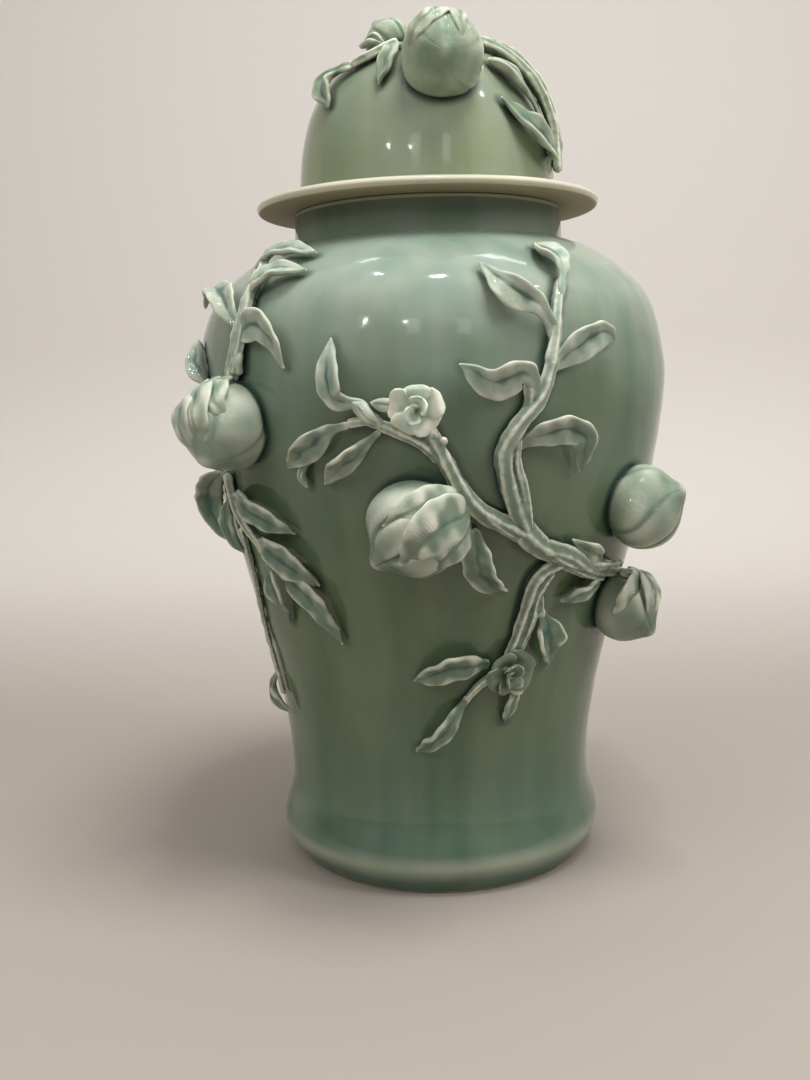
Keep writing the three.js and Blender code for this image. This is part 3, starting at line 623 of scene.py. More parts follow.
leafShapes = dict(
    limb_leaf_end=dict(
        path=[(-17, 384, 3), (-21.5, 379, 7), (-26.5, 368, 9), (-33, 353, 4)], width=21, tilt=(0, 25, 10),
        right=(0, 45, 20), left=20, more=[
            dict(path=[(-27, 357, 2), (-29.5, 348, 4), (-28.6, 337, 3)], width=7)]),
    limb_leaf_low=dict(
        path=[(-10.5, 379, 3), (-14, 368, 7), (-18, 358, 9), (-24, 341, 4)], width=18, tilt=(10, 30, 0),
        right=(20, 50, 10), left=10, lean=0.15),
    limb_leaf_top=dict(
        path=[(-11, 385, 2), (-14, 397, 5), (-19, 403, 9), (-20, 416, 10), (-20.5, 444, 4)], width=18,
        form="knee", tilt=(0, 10, -10), right=30, left=40, more=[
            dict(path=[(-10, 382, 4), (-12.8, 391, 8), (-16, 401, 5)], width=11.5, thick=9, form="bud"),
            dict(path=[(-5.5, 394, 4), (-8.5, 397, 8), (-12, 399, 5)], width=9, thick=6, form="bud")]),
    riser_leaf_left_top=dict(
        path=[(26.6, 434, 1), (25.2, 449, 5), (22.2, 461, 9), (17.2, 471, 9), (11.6, 492, 4)], width=21,
        form="knee", tilt=(0, 25, 20), right=(10, 30), left=(0, 30), lean=(0, -0.2)),
    riser_leaf_right=dict(
        path=[(24.8, 418, 1), (29, 430, 6), (33.6, 440, 9), (38, 442, 9), (42.3, 436, 4)], width=22,
        form="broad", tilt=(0, -10, -20), right=20, left=(10, 45), lean=0.1),
    riser_leaf_left_low=dict(
        path=[(21, 388, 1), (20.6, 408, 5), (18, 417, 9), (12, 412, 9), (5.6, 424, 4)], width=24, form="knee",
        tilt=(0, 25, 20), right=(10, 25), left=(10, 25), lean=(0, -0.2)),
    riser_leaf_droop=dict(
        path=[(17.4, 365, 1), (22, 373, 6), (27.5, 378, 10), (31.6, 372, 11), (33.4, 344, 4)], width=21,
        form="broad", tilt=(0, -15, -25), right=(20, 10), left=(10, 55)),
    riser_leaf_crown=dict(
        path=[(27.6, 458, 2), (29.2, 473, 6), (31.6, 489, 8), (30.4, 509, 3)], width=25, form="spoon",
        right=48, left=48, fold=2),
    fork_leaf_up=dict(
        path=[(47.5, 269, 4), (41.5, 281, 9), (34.5, 292, 4)], width=15, tilt=(0, 25), right=40, left=20),
    fork_leaf_down=dict(
        path=[(51, 257, 3), (43, 250, 8), (35, 242, 3)], width=14, tilt=(0, 20), right=35, left=10),
    falling_leaf_cup=dict(
        path=[(28.5, 238, 1), (30.6, 223, 7), (31.4, 211, 9), (34.2, 187, 3)], width=27, form="cup", right=50,
        left=50),
    falling_leaf_left=dict(
        path=[(15, 195, 1), (10, 199, 6), (4.4, 200, 9), (-0.4, 195, 8), (-6.8, 185, 4)], width=22,
        form="broad", tilt=(0, 20, 10), right=(10, 30), left=(10, 50), lean=(0, -0.15)),
    falling_leaf_tip=dict(
        path=[(9.4, 169, 1), (5, 157, 6), (1.4, 145, 9), (-2.2, 135, 9), (-7.3, 124, 3)], width=18,
        tilt=(-20, 35, 10), right=(50, 10, 40), left=(10, 50, 20), more=[
            dict(path=[(26.4, 178, 3), (23.6, 177, 9), (19.6, 179, 7)], width=12, right=90, left=20),
            dict(path=[(23, 178, 3), (22.8, 168, 6), (22, 158, 5), (21.2, 143, 1)], width=10, form="broad",
                 right=40, left=20)]),
    front_peach_leaf=dict(
        over="front_peach", form="cover", width=33, tilt=(0, 4), right=-12, left=-12, lean=0.1,
        path=[(1.42, 0.2, -0.5), (1.04, 0.42, 0.3), (0.66, 0.42, 0.9), (0.24, 0.12, 1.12),
              (-0.3, -0.45, 1.0)], more=[
            dict(over="front_peach", form="cover", width=25, right=-20, left=-5,
                 path=[(1.3, 0.16, -0.4), (1.06, 0.02, 0.42), (0.7, -0.26, 0.84), (0.3, -0.62, 0.86)]),
            dict(over="front_peach", form="cover", width=24, right=-20, left=-10,
                 path=[(1.2, 0.62, -0.4), (0.74, 0.82, 0.28), (0.1, 0.72, 0.76), (-0.62, 0.38, 0.78)])]),
    front_peach_leaf_low=dict(
        path=[(9, 307, 3), (9.3, 291, 9), (10.5, 276, 11), (14.5, 263, 9), (17.5, 254, 4)], width=23,
        tilt=(0, -20, -30), right=(0, 30), left=(20, 60), form="broad"),
    right_peach_leaf=dict(
        over="right_lower_peach", form="cover", width=26, tilt=(10, 20), right=-5, left=-15,
        path=[(-0.54, 1.2, -0.26), (-0.14, 1.22, 0.24), (-0.74, 0.6, 0.42), (-1.08, -0.36, 0.06)], more=[
            dict(over="right_lower_peach", form="cover", width=25, right=-14, left=-20,
                 path=[(0.2, 1.18, -0.2), (0.12, 1.02, 0.36), (-0.22, 0.6, 0.92), (-0.46, -0.12, 1.06)]),
            dict(over="right_lower_peach", form="broad", width=17, right=30, left=30,
                 path=[(0.3, 1.14, 0.1), (0.46, 1.0, 0.5), (0.56, 0.66, 0.92), (0.4, 0.28, 1.08)])]),
    left_leaf_crown=dict(
        path=[(-54, 497, 1), (-51, 504, 5), (-45, 508, 8), (-38, 508, 6), (-31.5, 507, 3)], width=19,
        form="broad", right=40, left=20),
    left_leaf_shoulder=dict(
        path=[(-46.6, 474, 1), (-44.6, 484, 6), (-39.5, 491, 7), (-30.5, 493, 3)], width=19, form="broad",
        tilt=(0, 15), right=30, left=30),
    left_leaf_curl=dict(
        path=[(-47, 455, 1), (-51, 467, 6), (-57, 479, 9), (-64, 482, 10), (-69, 473, 7)], width=22,
        form="broad", tilt=(-10, -35, -30), right=35, left=25),
    left_leaf_droop=dict(
        path=[(-46, 450, 1), (-42, 454, 6), (-37.6, 454, 9), (-34, 445, 9), (-31.6, 424, 3)], width=24,
        form="flap", tilt=(0, -15, -20), right=(20, 10), left=(10, 40), more=[
            dict(path=[(-45.6, 420, 2), (-45.2, 430, 5), (-46, 442, 3)], width=10, thick=7, form="bud")]),
    left_leaf_edge=dict(
        path=[(-62, 412, 1), (-69, 431, 4), (-74, 451, 3)], width=18, form="broad", tilt=-55, right=20,
        left=30),
    left_peach_leaf=dict(
        over="left_peach", form="cover", width=22, right=-15, left=-15,
        path=[(0.1, 1.24, -0.3), (0.34, 1.12, 0.3), (0.68, 0.74, 0.62), (0.96, 0.32, 0.52)], more=[
            dict(over="left_peach", form="cover", width=27, right=-12, left=-12,
                 path=[(-0.12, 1.24, -0.1), (0.1, 1.0, 0.66), (0.34, 0.4, 1.02), (0.42, -0.42, 0.88)]),
            dict(over="left_peach", form="cover", width=26, right=-12, left=-12,
                 path=[(-0.3, 1.1, 0.1), (-0.3, 0.66, 0.94), (-0.14, 0.1, 1.12), (0.1, -0.5, 0.9)])]),
    left_leaf_under=dict(
        path=[(-60, 346, 1), (-68, 336, 7), (-73, 320, 10), (-72.5, 303, 9), (-68, 283, 3)], width=23,
        form="broad", right=20, left=30, tilt=(40, 60, 50), more=[
            dict(path=[(-59, 330, 2), (-62, 310, 7), (-63, 292, 7), (-61, 276, 3)], width=14, tilt=30,
                 right=40, left=20)]),
    left_leaf_roll=dict(
        path=[(-57, 322, 1), (-52, 326, 5), (-46, 320, 9), (-41, 312, 8), (-35, 301, 3)], width=20,
        form="broad", right=55, left=15),
    left_leaf_middle=dict(
        path=[(-50.5, 290, 1), (-45.5, 290, 6), (-40, 284, 9), (-35.6, 274, 9), (-31, 260, 3)], width=22,
        form="broad", right=45, left=15, tilt=(0, 15), more=[
            dict(path=[(-49, 276, 2), (-46.6, 263, 7), (-45.6, 250, 8), (-46, 223, 1)], width=21, form="cup",
                 right=50, left=50)]),
    left_leaf_long=dict(
        path=[(-43, 265, 1), (-37, 260, 7), (-32, 248, 9), (-29.6, 234, 8), (-27, 213, 3)], width=20,
        form="flap", right=45, left=15),
    left_trail_leaf=dict(
        path=[(-66, 172, 2), (-69, 157, 8), (-66, 146, 8), (-60.5, 137, 4)], width=15, right=45, left=45),
    back_leaf_top=dict(
        path=[(193, 455, 1), (181, 478, 9), (172, 486, 4)], width=20, right=40, tilt=(0, 20)),
    back_leaf_crown=dict(
        path=[(195, 474, 1), (200, 495, 9), (210, 506, 5)], width=22, left=50),
    back_leaf_side=dict(
        path=[(216, 354, 1), (227, 345, 9), (236, 322, 4)], width=20, right=40),
    back_peach_leaf=dict(
        over="back_upper_peach", form="cover", width=31, right=-12, left=-12,
        path=[(0.38, 1.2, -0.32), (0.24, 0.88, 0.6), (0.12, 0.42, 0.98), (-0.22, -0.27, 1.02)], more=[
            dict(over="back_upper_peach", form="cover", width=24, right=-15, left=-15,
                 path=[(0.5, 1.14, -0.3), (0.74, 0.7, 0.42), (0.72, 0.1, 0.8), (0.5, -0.44, 0.86)]),
            dict(over="back_lower_peach", form="cover", width=22, right=-15, left=-15,
                 path=[(0.3, 1.2, -0.3), (0.1, 0.98, 0.5), (-0.2, 0.5, 0.96), (-0.36, -0.1, 1.04)])]),
    back_leaf_right=dict(
        path=[(133, 372, 1), (126, 381, 7), (118, 384, 10), (104, 375, 4)], width=22, left=40),
    lid_peach_leaf=dict(
        body="lid", over="lid_peach", form="cover", width=15, right=-12, left=-12,
        path=[(0.19, 1.39, -0.7), (0.3, 0.9, 0.35), (0.32, 0.2, 0.9), (0.33, -0.45, 0.84)], more=[
            dict(over="lid_peach", form="cover", width=17, right=-12, left=-12,
                 path=[(0.1, 1.1, 0.2), (-0.2, 0.45, 0.86), (-0.7, 0.0, 0.7), (-0.93, -0.36, 0.3)]),
            dict(path=[(-24, 74, 3), (-35, 69, 7), (-48, 69, 6)], width=14, right=120, left=60)]),
    lid_leaf_fork=dict(
        body="lid", path=[(-16, 68, 2), (-17, 88, 7), (-21, 117, 3)], width=15, right=40, left=40),
    lid_leaf_left=dict(
        body="lid", path=[(-41, 92, 2), (-52, 96, 5), (-55, 109, 6), (-48, 127, 3)], width=22, form="knee",
        right=60, left=50),
    lid_leaf_curl=dict(
        body="lid", path=[(71, 150, 1), (60, 132, 3), (48, 110, 4), (36, 92, 4)], width=20, form="spoon",
        right=60, left=60, tilt=-15),
    lid_leaf_heart=dict(
        body="lid", path=[(70, 163, 1), (61, 160, 5), (50, 150, 6), (35, 128, 2)], width=28, form="flap",
        right=40, left=30, tilt=-15),
)


def makeLeaves():
    for number, (node, leaf) in enumerate(leafShapes.items()):
        body = leaf.get("body", "jar")
        shapes = []
        for one in [leaf] + leaf.get("more", []):
            one = {"body": body, "phase": number * 0.37 + len(shapes) * 0.3, **one}
            shapes.append(sheet(*leafLine(one), one))
        thing = objectOf(node + "_glazed", meshOf(node, *joined(shapes)))
        finishPiece(thing, body, node, "leaf", smoothing=(5, 30))


# Branches: rolled coils with furrows, pressed together at their forks. Each coil is its path, and its
# girth at the root and at the tip.

branchShapes = dict(
    front_trunk=dict(coils=[
        ([(19, 305, 4), (25, 290, 4), (34, 281, 4), (42, 269, 4), (56, 261, 5)], 8.4, 6.5),
        ([(22, 300, 6), (30, 281, 8), (38, 271, 7), (47, 268, 7), (57, 266, 7)], 4.2, 3.6),
        ([(24, 288, 3), (33, 274, 6), (41, 264, 6), (50, 256, 5)], 4, 3.4)]),
    limb_branch=dict(coils=[
        ([(27, 289, 3), (21, 301, 3.5), (9, 322, 3.5), (3.5, 350, 4), (0.5, 371, 4), (-2.5, 390, 4)], 8, 5),
        ([(24, 291, 5), (14, 309, 7), (7.5, 329, 6), (3, 352, 5)], 3.5, 3),
        ([(2, 356, 2), (-1, 367, 4), (-5, 375, 3), (-9, 381, 3), (-13, 386, 3), (-17.5, 384, 3)], 4.8, 3.4),
        ([(2, 369, 5), (2.5, 374, 10)], 3.2, 2.4), ([(0.5, 374, 5), (0, 380, 11)], 3.2, 2.6)]),
    riser_branch=dict(coils=[
        ([(26, 290, 3), (21.5, 302, 3.5), (16.3, 337, 3), (15, 362, 3), (18, 382, 4), (22.5, 400, 3),
          (25.5, 432, 3), (28, 466, 3), (31, 482, 2)], 8.2, 3.6),
        ([(22, 296, 5), (20.5, 318, 6), (19.2, 336, 5), (17.6, 352, 5), (17.4, 372, 4)], 4.5, 3.6),
        ([(20, 388, 2), (20, 402, 3), (19.6, 410, 3)], 5, 4)]),
    falling_branch=dict(coils=[
        ([(38, 279, 3), (33, 276, 3), (26, 264, 3), (24, 240, 3), (22, 215, 3), (19, 192, 3), (13, 181, 3),
          (8, 166, 2)], 6.5, 3),
        ([(30, 270, 5), (26.5, 250, 5), (26, 232, 5), (24, 212, 4), (21, 198, 4)], 3.6, 3),
        ([(26.5, 258, 2), (28.4, 240, 3), (29.5, 230, 3)], 4.2, 3.2)]),
    left_riser=dict(coils=[
        ([(-48, 416, 3), (-46, 445, 3), (-45.5, 470, 3), (-46.5, 493, 3), (-50, 503, 3)], 6.2, 4.4),
        ([(-46.6, 420, 4), (-44.4, 450, 5), (-45, 478, 5), (-48, 496, 5)], 4, 3.4)]),
    left_runner=dict(coils=[
        ([(-57, 345, 3), (-57, 310, 2), (-51, 290, 2), (-45, 268, 2), (-41, 260, 2)], 4.6, 2.6)]),
    left_trail=dict(coils=[
        ([(-59, 300, 1), (-62, 250, 1.5), (-66, 205, 2), (-66, 167, 2), (-66, 150, 2)], 2.8, 2)]),
    back_branch=dict(coils=[
        ([(150, 256, 3), (160, 290, 3), (186, 372, 3), (193, 410, 3), (190, 450, 3), (196, 480, 3)], 7, 4),
        ([(161, 292, 3), (148, 320, 3), (136, 352, 3), (130, 384, 3)], 5, 3.5),
        ([(189, 385, 2), (205, 380, 3), (219, 350, 3)], 4.5, 3.5)]),
    lid_twig_left=dict(body="lid", coils=[([(-18, 66, 3), (-30, 82, 3), (-42, 92, 3)], 5, 4)]),
    lid_twig_right=dict(body="lid", coils=[
        ([(35, 64, 3), (60, 74, 4), (74, 100, 5), (79, 135, 5), (76, 176, 4)], 6, 4),
        ([(48, 66, 4), (75, 76, 7), (84, 102, 8), (86, 132, 7), (80, 162, 4)], 5.5, 4.5)]),
)
branchDetail = {"Sides": 40, "Furrows": 5.0, "Furrow depth": 0.1, "Twist": 9.0, "Knot size": 0.0034,
                "Knot spacing": 0.013}


def coilTree():
    # rolls a clay coil along each line of the input; its girth is an attribute of the line
    tree, given, result = newTree("rolled coil", branchDetail)
    add = partial(addNode, tree)
    line = add("GeometryNodeMeshToCurve", {0: given["Geometry"]})
    girth = add("GeometryNodeInputNamedAttribute", {"Name": "girth"}, data_type="FLOAT")
    along = add("GeometryNodeSplineParameter").outputs["Length"]
    twist = add("ShaderNodeMath", {0: along, 1: given["Twist"]}, operation="MULTIPLY")
    tilted = add("GeometryNodeSetCurveTilt", {0: line, "Tilt": twist})
    circle = add("GeometryNodeCurvePrimitiveCircle", {"Resolution": given["Sides"], "Radius": 1.0})
    spot = add("GeometryNodeInputPosition")
    x, y, _ = add("ShaderNodeSeparateXYZ", {0: spot}).outputs
    angle = add("ShaderNodeMath", {0: y, 1: x}, operation="ARCTAN2")
    lobes = add("ShaderNodeMath", {0: angle, 1: given["Furrows"]}, operation="MULTIPLY")
    wave = add("ShaderNodeMath", {0: lobes}, operation="COSINE")
    deep = add("ShaderNodeMath", {0: wave, 1: given["Furrow depth"]}, operation="MULTIPLY")
    dent = add("ShaderNodeVectorMath", {0: spot, "Scale": deep}, operation="SCALE")
    furrowed = add("GeometryNodeSetPosition", {"Geometry": circle, "Offset": dent})
    coil = add("GeometryNodeCurveToMesh", {0: tilted, 1: furrowed, "Scale": girth, "Fill Caps": True})
    perMetre = add("ShaderNodeMath", {0: 1.0, 1: given["Knot spacing"]}, operation="DIVIDE")
    knots = add("ShaderNodeTexNoise", {"Scale": perMetre, "Detail": 2.0})
    centred = add("ShaderNodeMath", {0: knots, 1: 0.5}, operation="SUBTRACT")
    swell = add("ShaderNodeMath", {0: centred, 1: given["Knot size"]}, operation="MULTIPLY")
    normal = add("GeometryNodeInputNormal")
    bulge = add("ShaderNodeVectorMath", {0: normal, "Scale": swell}, operation="SCALE")
    knotted = add("GeometryNodeSetPosition", {"Geometry": coil, "Offset": bulge})
    return endTree(tree, knotted, given, result)


def makeBranches():
    tree = coilTree()
    for node, shape in branchShapes.items():
        body = shape.get("body", "jar")
        points, edges, girths = [], [], []
        for path, first, last in shape["coils"]:
            line, length = spaced(smoothLine([placeOn(body, *step)[0] for step in path]), 16 * len(path))
            share = np.linspace(0, 1, len(line))
            girth = first + (last - first) * share
            fromEnd = np.minimum(share, 1 - share) * length / girth
            girth = girth * np.sqrt(np.clip(1 - (1 - np.clip(fromEnd, 0.02, 1)) ** 2, 0, 1))
            start = len(points)
            points += list(line)
            girths += list(girth)
            edges += [(start + i, start + i + 1) for i in range(len(line) - 1)]
        mesh = bpy.data.meshes.new(node)
        mesh.from_pydata((np.array(points) * metre).tolist(), edges, [])
        setAttribute(mesh, "girth", np.array(girths) * metre)
        thing = objectOf(node + "_glazed", mesh)
        runTree(thing, tree, {**branchDetail, "Material": materials["branch"]})
        fused(thing, voxel=0.9)
        finishPiece(thing, body, node, "branch", smoothing=(6, 30))


# Blossoms: five open petals, two cupped ones and a rolled one at the heart

flowerShapes = dict(
    upper_flower=dict(at=(-3, 394, 2), radius=18, turn=18),
    lower_flower=dict(at=(20.5, 191, 2), radius=18, turn=54),
    back_flower=dict(at=(129, 394, 2), radius=19, turn=0),
)
# reaches and widths are shares of the radius, and rise is the height at four places along a petal
petalRounds = [
    dict(start=0, reaches=(1.1, 0.94, 1.12, 1.0, 1.04), rise=(2.5, 5, 7.5, 6), width=1.2, cup=14, tilt=10),
    dict(start=0.5, reaches=(0.56, 0.56), rise=(4, 9, 12.5, 13), width=1.05, cup=85, tilt=12),
    dict(start=2, reaches=(0.26,), rise=(5, 9, 12, 13), width=0.45, cup=120, tilt=0),
]


def petal(shape, one, turn, reach):
    place, right, up, out = placeOn("jar", *shape["at"])
    away = right * math.cos(turn) + up * math.sin(turn)
    line = [place + away * (shape["radius"] * reach) * share + out * rise
            for share, rise in zip((0.12, 0.45, 0.8, 1.0), one["rise"])]
    outs = [unit(out - away * lean) for lean in (0.1, 0.3, 0.55, 0.8)]
    return sheet(line, outs, dict(
        width=shape["radius"] * one["width"], form="petal", thick=2.8, edge=2.4, rib=0, vein=0, fold=2,
        right=one["cup"], left=one["cup"], tilt=one["tilt"], wave=5, waves=0.6, phase=turn))


def makeFlowers():
    for node, shape in flowerShapes.items():
        shapes = []
        for one in petalRounds:
            for i, reach in enumerate(one["reaches"]):
                turn = math.radians(shape["turn"]) + one["start"] + i * 2 * math.pi / len(one["reaches"])
                shapes.append(petal(shape, one, turn, reach))
        thing = objectOf(node + "_glazed", meshOf(node, *joined(shapes)))
        fused(thing, voxel=0.55)
        finishPiece(thing, "jar", node, "blossom", smoothing=(4, 24))


makePeaches()
print("peaches made")
makeLeaves()
print("leaves made")
makeBranches()
print("branches made")
makeFlowers()
print("blossoms made")


# The jar and the lid, turned on the wheel

def offsetLine(line, distance):
    ahead = unit(np.gradient(line, axis=0))
    return line + np.stack([ahead[:, 1], -ahead[:, 0]], 1) * distance


def rounded(corners, radius, steps=5):
    # an outline whose corners are eased by a small round
    result = [np.array(corners[0], float)]
    for before, corner, after in zip(corners, corners[1:], corners[2:]):
        before, corner, after = (np.array(p, float) for p in (before, corner, after))
        reach = min(radius, np.linalg.norm(before - corner) / 2.2, np.linalg.norm(after - corner) / 2.2)
        start = corner + unit(before - corner) * reach
        end = corner + unit(after - corner) * reach
        for s in np.linspace(0, 1, steps):
            result.append((1 - s) ** 2 * start + 2 * s * (1 - s) * corner + s ** 2 * end)
    return result + [np.array(corners[-1], float)]


def jarOutline():
    shape = jarShape
    outside, _ = spaced(walls["jar"]["line"][:-1], 190)
    rim, neck = shape["rim"], outside[-1][0]
    inside = offsetLine(outside, -shape["wall"])
    inside = inside[(inside[:, 1] > shape["floor"] + 8) & (inside[:, 1] < rim - 8)][::-2]
    foot = rounded([(0, shape["footRecess"]), (shape["footInside"] - 4, shape["footRecess"]),
                    (shape["footInside"], 0), *outside[:2]], shape["footEase"])[:-1]
    mouth = rounded([outside[-1], (neck, rim), (neck - shape["wall"], rim), inside[0]], shape["rimEase"])
    floor = [inside[-1], (inside[-1][0] - 5, shape["floor"]), (0, shape["floor"])]
    floor = rounded(floor, shape["floorEase"])[1:]
    return np.vstack([foot, outside[1:], mouth[1:-1], inside, floor])


def lidOutline():
    shape = lidShape
    dome, _ = spaced(walls["lid"]["line"], 110)
    dome[:, 0] = np.maximum(dome[:, 0], 0)
    inside = [p for p in offsetLine(dome, shape["wall"])[::2] if p[0] > 1]
    under, over = shape["seat"], shape["seat"] + shape["flange"]
    ring, ringEnd = shape["ringOutside"], under - shape["ringDepth"]
    brim, brimTop = shape["flangeRadius"], shape["flangeRadius"] - shape["rimRound"]
    lower = rounded([inside[-1], (ring - shape["ringWall"], under + 2), (ring - shape["ringWall"], ringEnd),
                     (ring, ringEnd), (ring, under), (brimTop, under), (brim, (under + over) / 2),
                     (brimTop, over), (shape["radius"] + 1, over), dome[-3]],
                    shape["ease"], shape["easeSteps"])
    lower = lower[1:-1]
    widest = max(range(len(lower)), key=lambda i: lower[i][0])
    last = next(i for i in range(widest, len(lower)) if lower[i][0] < shape["radius"] + 8)
    # rings across the flange, so that its pale rim ends on it and not at the dome
    shelf = [(radius, over) for radius in np.linspace(lower[last - 1][0], lower[last][0], 16)[1:-1]]
    return np.vstack([[(0, inside[0][1])], inside, lower[:last], shelf, lower[last:], dome[-3::-1]])


wheelDetail = {"Segments": 320, "Rings": 200, "Unevenness": 0.003}      # each outline sets its own rings


def wheelTree():
    # turns an outline, one vertex for each ring, about Z
    tree, given, result = newTree("turned on the wheel", wheelDetail)
    add = partial(addNode, tree)
    position = add("GeometryNodeInputPosition")
    across = add("ShaderNodeMath", {0: given["Segments"], 1: 1.0}, operation="ADD")
    grid = add("GeometryNodeMeshGrid", {"Size X": 1.0, "Size Y": 1.0, "Vertices X": across,
                                        "Vertices Y": given["Rings"]})
    x, y, _ = add("ShaderNodeSeparateXYZ", {0: position}).outputs
    lastRing = add("ShaderNodeMath", {0: given["Rings"], 1: 1.0}, operation="SUBTRACT")
    fromEdge = add("ShaderNodeMath", {0: y, 1: 0.5}, operation="ADD")
    ring = add("ShaderNodeMath", {0: fromEdge, 1: lastRing}, operation="MULTIPLY")
    ringIndex = add("ShaderNodeMath", {0: ring}, operation="ROUND")
    turn = add("ShaderNodeMath", {0: x, 1: 2 * math.pi}, operation="MULTIPLY")
    outline = add("GeometryNodeSampleIndex", {"Geometry": given["Geometry"], "Value": position,
                                              "Index": ringIndex}, data_type="FLOAT_VECTOR", domain="POINT")
    turned = add("ShaderNodeVectorRotate", {"Vector": outline, "Angle": turn}, rotation_type="Z_AXIS")
    moved = add("GeometryNodeSetPosition", {"Geometry": grid, "Position": turned})
    # a slight hand unevenness, in towards the axis and longer round it than up
    stretched = add("ShaderNodeVectorMath", {0: position, 1: (1.0, 1.0, 2.5)}, operation="MULTIPLY")
    uneven = add("ShaderNodeTexNoise", {"Vector": stretched, "Scale": 9.0, "Detail": 1.0},
                 noise_dimensions="3D")
    shrink = add("ShaderNodeMath", {0: uneven, 1: given["Unevenness"]}, operation="MULTIPLY")
    inward = add("ShaderNodeVectorMath", {0: position, 1: (-5.0, -5.0, 0.0)}, operation="MULTIPLY")
    offset = add("ShaderNodeVectorMath", {0: inward, "Scale": shrink}, operation="SCALE")
    thrown = add("GeometryNodeSetPosition", {"Geometry": moved, "Offset": offset})
    closed = add("GeometryNodeMergeByDistance", {"Geometry": thrown, "Distance": 0.00001})
    return endTree(tree, closed, given, result)


wheel = wheelTree()
# where the glaze is wiped off or thin: the foot ring, under the lid, and the rim of its flange
bareDetail = dict(footTop=2.5, footFade=1.5, footInside=100, lidTop=1.5, brim=5, brimFade=2, brimPale=0.3,
                  # how far from the relief the darker ring of thick glaze and painted contact shade reaches
                  poolingAndShadeReach=40)


def makeTurned(node, body, outline):
    mesh = bpy.data.meshes.new(node)
    profile = np.stack([outline[:, 0], np.zeros(len(outline)), outline[:, 1]], 1) * metre
    mesh.from_pydata(profile.tolist(), [(i, i + 1) for i in range(len(profile) - 1)], [])
    thing = objectOf(node + "_glazed", mesh)
    runTree(thing, wheel, {**wheelDetail, "Rings": len(profile), "Material": materials[body]})
    mesh = thing.data
    outwards(mesh)
    shadeSmooth(mesh)
    points = pointsOf(mesh)
    relief = searchTree(np.vstack(spots[body]))
    # distance to the relief: the glaze darkens close to it, partly thick glaze and partly painted contact shade
    setAttribute(mesh, "near", [min(relief.find(p)[2], bareDetail["poolingAndShadeReach"]) for p in points])
    edge = roundness(mesh, 3)
    fromAxis, height = np.hypot(points[:, 0], points[:, 1]), points[:, 2]
    if body == "jar":
        bare = np.clip((bareDetail["footTop"] - height) / bareDetail["footFade"], 0, 1)
        bare = bare * (fromAxis > bareDetail["footInside"])
    else:
        bare = np.clip(bareDetail["lidTop"] - (height - lidShape["seat"]), 0, 1)
        onBrim = fromAxis - lidShape["flangeRadius"] + bareDetail["brim"]
        edge = np.maximum(edge, bareDetail["brimPale"] * np.clip(onBrim / bareDetail["brimFade"], 0, 1))
    setAttribute(mesh, "edge", edge)
    setAttribute(mesh, "bare", bare)
    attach(thing, body)
    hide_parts(node)


makeTurned("jar_body", "jar", jarOutline())
makeTurned("lid_body", "lid", lidOutline())
print("bodies made")


# Stage, light and camera

stage = dict(left=-8, right=8, front=-8, back=1.6, corner=1.2, bend=0.5, rise=4.8, wall="#dbd6d1",
             floor="#a09890", wallFrom=0.2, wallFull=1.7, paleFrom=0.1, paleFull=2, roughness=0.9)


def paperMaterial():
    # matt paper, which gives no reflections: greyer on the floor by the jar than up the walls
    material = bpy.data.materials.new("pale_paper")
    material.use_nodes = True
    tree = material.node_tree
    add = partial(addNode, tree)
    shader = tree.nodes["Principled BSDF"]
    shader.inputs["Roughness"].default_value = stage["roughness"]
    place = add("ShaderNodeTexCoord").outputs["Object"]
    _, y, z = add("ShaderNodeSeparateXYZ", {0: place}).outputs
    back = add("ShaderNodeMapRange",
               {"Value": y, "From Min": stage["wallFrom"],
                "From Max": stage["wallFull"]}, interpolation_type="SMOOTHSTEP")
    high = add("ShaderNodeMapRange",
               {"Value": z, "From Min": stage["paleFrom"], "From Max": stage["paleFull"]})
    share = add("ShaderNodeMath", {0: back, 1: high}, operation="MAXIMUM")
    tint = add("ShaderNodeMix", {0: share, 6: hexColour(stage["floor"]), 7: hexColour(stage["wall"])},
               data_type="RGBA")
    tree.links.new(tint.outputs[2], shader.inputs["Base Color"])
    return material


def makeStage():
    # a pale floor that bends up into walls all round, with the back wall near as in the photo
    steps = [(stage["bend"] + 0.3, 0)]
    steps += [(stage["bend"] * (1 - math.sin(a)), stage["bend"] * (1 - math.cos(a)))
              for a in np.linspace(0, math.pi / 2, 10)]
    steps += [(0, stage["rise"])]
    corners = [(stage["right"], stage["back"], 0), (stage["left"], stage["back"], 90),
               (stage["left"], stage["front"], 180), (stage["right"], stage["front"], 270)]
    points = []
    for inset, height in steps:
        for x, y, start in corners:
            centre = (x - math.copysign(stage["corner"], x), y - math.copysign(stage["corner"], y))
            for angle in np.radians(np.linspace(start, start + 90, 9)):
                reach = stage["corner"] - inset
                points.append((centre[0] + reach * math.cos(angle), centre[1] + reach * math.sin(angle),
                               height - 0.0001))
    count = len(points) // len(steps)
    faces = [tuple(range(count))]
    for ring in range(len(steps) - 1):
        for i in range(count):
            a, b = ring * count + i, ring * count + (i + 1) % count
            faces.append((a, a + count, b + count, b))
    mesh = bpy.data.meshes.new("floor")
    mesh.from_pydata(points, [], faces)
    thing = objectOf("floor", mesh)
    mesh.materials.append(paperMaterial())
    shadeSmooth(mesh)


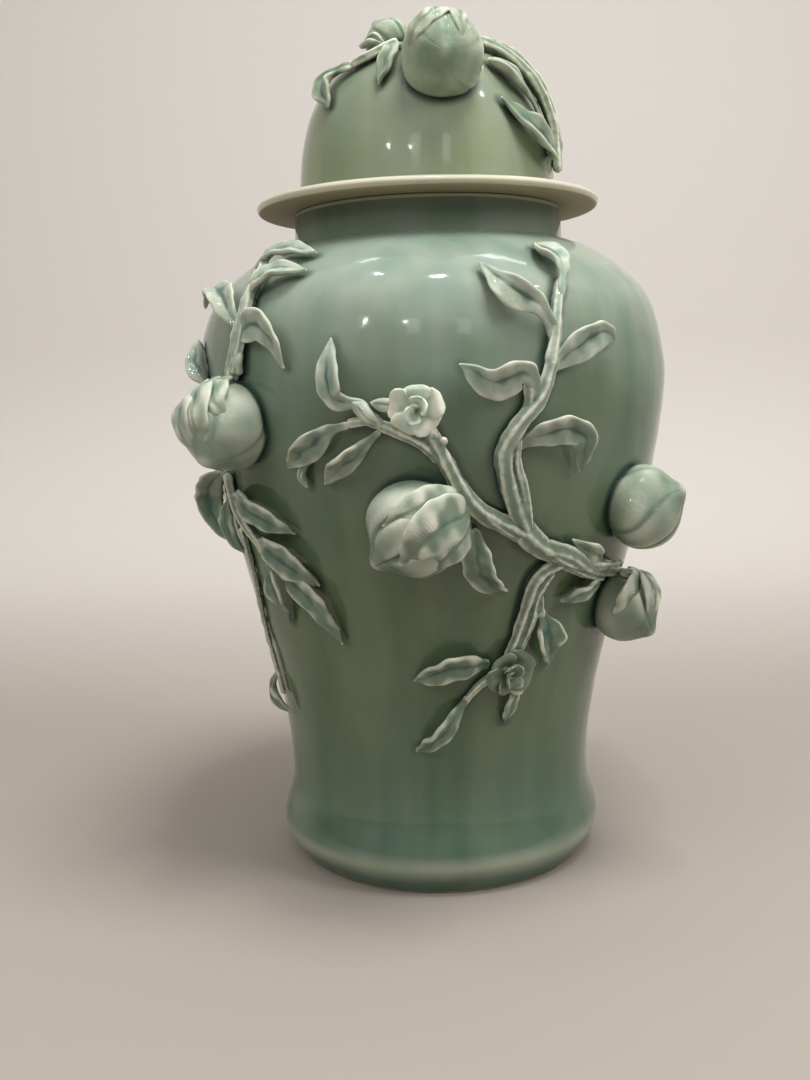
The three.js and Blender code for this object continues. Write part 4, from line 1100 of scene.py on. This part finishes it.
# three lamps light the jar and don't show in its glaze; the others are what the glaze reflects
lamps = dict(
    soft_overhead=dict(place=(0.4, -0.45, 2.3), size=0.8, power=33, shines=False),
    right_window=dict(place=(1.7, -0.8, 1.5), size=0.9, power=17, shines=False),
    left_fill=dict(place=(-1.8, -1.2, 1.6), size=1.2, power=12.5, shines=False),
    tube=dict(place=(0.22, 0.42, 1.96), size=1.5, power=2.2, depth=0.07),
    pane_left=dict(place=(-0.35, -2.3, 1.5), size=0.3, power=0.9, depth=0.5),
    pane_right=dict(place=(0.75, -2.3, 1.5), size=0.3, power=0.9, depth=0.5),
    spark_left=dict(place=(-0.97, -1.49, 1.33), size=0.035, power=0.9),
    spark_right=dict(place=(-0.41, -1.75, 1.31), size=0.025, power=0.5),
    spark_high=dict(place=(0.11, -0.38, 2.28), size=0.05, power=2.2),
    spark_back=dict(place=(-0.48, -0.08, 2.24), size=0.03, power=0.8),
    spark_side=dict(place=(1.17, -0.46, 1.88), size=0.035, power=0.9),
)
lampsAim = (0, 0, 0.35)
room = dict(colour="#eae8e4", height=(0.25, 0.95), glow=(0.22, 1.1))


def addLamp(name, place, size, power, shines=True, depth=None):
    data = bpy.data.lights.new(name, "AREA")
    data.shape = "RECTANGLE" if depth else "DISK"
    data.size = size
    data.size_y = depth or size
    data.energy = power
    lamp = objectOf(name, data)
    lamp.visible_glossy = shines
    lamp.location = place
    facing = (Vector(place) - Vector(lampsAim)).normalized()
    side = (Vector((1, 0, 0)) - facing * facing.x).normalized()
    lamp.rotation_euler = Matrix((side, facing.cross(side), facing)).transposed().to_euler()


def makeRoom():
    # a ceiling that glows softly overhead and walls that fall off below it
    world = bpy.data.worlds.new("studio")
    scene.world = world
    world.use_nodes = True
    tree = world.node_tree
    add = partial(addNode, tree)
    sky = tree.nodes["Background"]
    direction = add("ShaderNodeTexCoord").outputs["Generated"]
    height = add("ShaderNodeSeparateXYZ", {0: direction}).outputs["Z"]
    (low, high), (least, most) = room["height"], room["glow"]
    ceiling = add("ShaderNodeMapRange", {"Value": height, "From Min": low, "From Max": high, "To Min": least,
                                         "To Max": most}, interpolation_type="SMOOTHSTEP")
    sky.inputs["Color"].default_value = hexColour(room["colour"])
    tree.links.new(ceiling.outputs[0], sky.inputs["Strength"])


photo = dict(place=(0, -0.986, 0.413), focal=1114, longSide=1080, sensor=36, down=8.12, turn=-1.54, roll=1.50)


def makeCamera():
    data = bpy.data.cameras.new("camera")
    data.sensor_width = photo["sensor"]
    data.lens = photo["focal"] / photo["longSide"] * photo["sensor"]
    camera = objectOf("camera", data)
    down, turn, roll = (math.radians(photo[k]) for k in ("down", "turn", "roll"))
    forward = np.array([math.sin(turn) * math.cos(down), math.cos(turn) * math.cos(down), -math.sin(down)])
    side = np.array([math.cos(turn), -math.sin(turn), 0])
    below = np.cross(forward, side)
    right = side * math.cos(roll) + below * math.sin(roll)
    lower = -side * math.sin(roll) + below * math.cos(roll)
    camera.matrix_world = Matrix([(right[k], -lower[k], -forward[k], photo["place"][k]) for k in range(3)]
                                 + [(0, 0, 0, 1)])
    scene.camera = camera


makeStage()
for name, lamp in lamps.items():
    addLamp(name, **lamp)
makeRoom()
makeCamera()
scene.view_settings.view_transform = "Standard"
print("stage, light and camera made")
